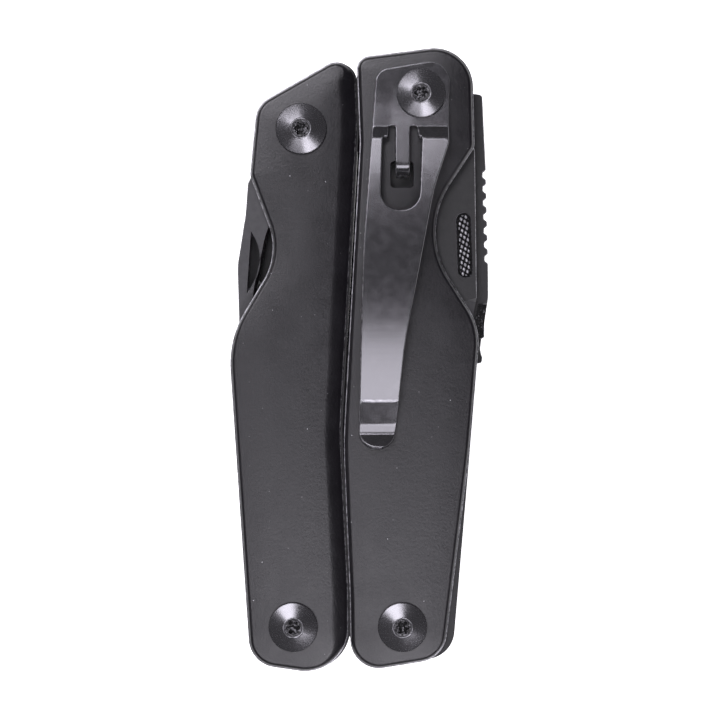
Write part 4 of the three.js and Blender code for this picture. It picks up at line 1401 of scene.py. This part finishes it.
def right_tools():
    top = heights("plain_blade")[1]
    folding_tool("plain_blade", "right", PLAIN_BLADE, [thumb_recess_pit(top)], facet=BARE_OXIDE)
    knurled_pad(top)
    folding_tool("jimped_blade", "right", JIMPED_BLADE, facet=ROUGH_OXIDE)
    # The file and its teeth get painted shade.
    folding_tool("metal_file", "right", METAL_FILE, material=SHADED_TOOL_OXIDE)
    file_low, file_high = heights("metal_file")
    file_teeth(file_high, True)
    file_teeth(file_low, False)
    folding_tool("wood_saw", "right", WOOD_SAW)
    folding_tool("flat_driver", "right", FLAT_DRIVER, tip_down=FLAT_TIP)


def left_tools():
    awl = folding_tool("awl", "left", AWL, [nail_nick_pit(heights("awl")[1])], BARE_OXIDE, NICK_OXIDE)
    # Painted highlight on the awl's steep walls and rims.
    repaint(awl, RIM_HIGHLIGHT_AND_WEAR, lambda at, normal: 0.05 < normal.z < 0.45)
    # The can opener, the phillips driver and the small driver under the awl get painted shade.
    folding_tool("can_opener", "left", CAN_OPENER, material=SHADED_TOOL_OXIDE)
    phillips_driver()
    folding_tool("small_driver", "left", SMALL_DRIVER, material=SHADED_TOOL_OXIDE, tip_down=SMALL_TIP)


# ---- pliers


def pliers():
    for name in ("jaw_left", "jaw_right", "jaw_pin"):
        dress(name, JAW, width=0.25, segments=3, angle=35)


# ---- assembly


def build_handle(side):
    back_scale(side)
    front_scale(side)
    liner(side, "back")
    liner(side, "front")
    dress(f"{side}_comb_spring", SPRING, width=0.1, segments=2, angle=40)
    handle_pins(side)
    for fastener in (screw, barrel):
        for place, pivot in PIVOTS[side].items():
            fastener(side, place, pivot)
    for node in sorted(frame["nodes"]):
        if node.startswith(side) and "washer" in node:
            washer(side, node)


build_handle("right")
build_handle("left")
pocket_clip()
right_tools()
left_tools()
pliers()

# ---- floor, light and camera


def floor():
    """Plain pale sheet under the tool."""
    mesh = bpy.data.meshes.new("floor")
    half = 3.0
    corners = [(-half, -half, 0), (half, -half, 0), (half, half, 0), (-half, half, 0)]
    mesh.from_pydata(corners, [], [(0, 1, 2, 3)])
    sheet = bpy.data.objects.new("floor", mesh)
    bpy.context.scene.collection.objects.link(sheet)
    paper = bpy.data.materials.new("white_sweep")
    paper.use_nodes = True
    shader = paper.node_tree.nodes["Principled BSDF"]
    shader.inputs["Base Color"].default_value = (0.9, 0.9, 0.9, 1)
    shader.inputs["Roughness"].default_value = 0.8
    shader.inputs["Emission Color"].default_value = (1, 1, 1, 1)
    shader.inputs["Emission Strength"].default_value = 1.0
    mesh.materials.append(paper)
    sheet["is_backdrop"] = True


LIGHT_TINT = (1.0, 0.97, 1.05)
# Where each light stands, its two sides and its power, in metres and watts.
SOFTBOXES = {
    "near_box": ((-0.03, -0.2, 0.65), (0.38, 0.29), 1.5),
    "far_box": ((-0.2, 0.34, 0.65), (0.44, 0.38), 4.1),
    "low_right_box": ((0.21, -0.37, 0.65), (0.32, 0.17), 1.5),
}
# The room glows towards the horizon and is dark above: heights of the sky, then its strengths.
GLOW_HEIGHTS, GLOW_STRENGTHS = (0.1, 0.36), (1.3, 0.03)
AIM = Vector((0, 0, 0.01))
CAMERA_ABOVE_SCALES = 0.337


def softbox(name, place, size, power):
    """Rectangular area light aimed at the tool."""
    light = bpy.data.lights.new(name, "AREA")
    light.shape = "RECTANGLE"
    light.size, light.size_y = size
    light.energy = power
    light.color = LIGHT_TINT
    lamp = bpy.data.objects.new(name, light)
    bpy.context.scene.collection.objects.link(lamp)
    lamp.location = place
    lamp.rotation_euler = (AIM - Vector(place)).to_track_quat("-Z", "Y").to_euler()


def lights():
    """Broad boxes round a dark gap overhead, through which the camera looks down."""
    world = bpy.data.worlds.new("studio")
    bpy.context.scene.world = world
    world.use_nodes = True
    background = world.node_tree.nodes["Background"]
    background.inputs["Color"].default_value = (*LIGHT_TINT, 1)
    tree = world.node_tree
    direction = tree.nodes.new("ShaderNodeTexCoord")
    split = tree.nodes.new("ShaderNodeSeparateXYZ")
    tree.links.new(direction.outputs["Generated"], split.inputs["Vector"])
    height = tree.nodes.new("ShaderNodeMapRange")
    height.interpolation_type = "SMOOTHSTEP"
    sockets = ("From Min", "From Max", "To Min", "To Max")
    for socket, value in zip(sockets, (*GLOW_HEIGHTS, *GLOW_STRENGTHS)):
        height.inputs[socket].default_value = value
    tree.links.new(split.outputs["Z"], height.inputs["Value"])
    tree.links.new(height.outputs["Result"], background.inputs["Strength"])
    for name, (place, size, power) in SOFTBOXES.items():
        softbox(name, place, size, power)


def camera():
    """Looks straight down on the clip side, with the tool pivots at the top of the picture."""
    lens = bpy.data.cameras.new("camera")
    lens.lens = 100.0
    lens.sensor_width = 36.0
    lens.clip_start = 0.01
    eye = bpy.data.objects.new("camera", lens)
    bpy.context.scene.collection.objects.link(eye)
    top = heights("right_back_scale")[1] * MM
    eye.location = (0.0, 0.0, top + CAMERA_ABOVE_SCALES)
    eye.rotation_euler = (0.0, 0.0, 0.0)
    bpy.context.scene.camera = eye


floor()
lights()
camera()
bpy.context.scene.view_settings.view_transform = "Standard"

boxes = {"cad": cad_box, "visual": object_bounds()}
{name: [[float(v) for v in corner] for corner in box] for name, box in boxes.items()}
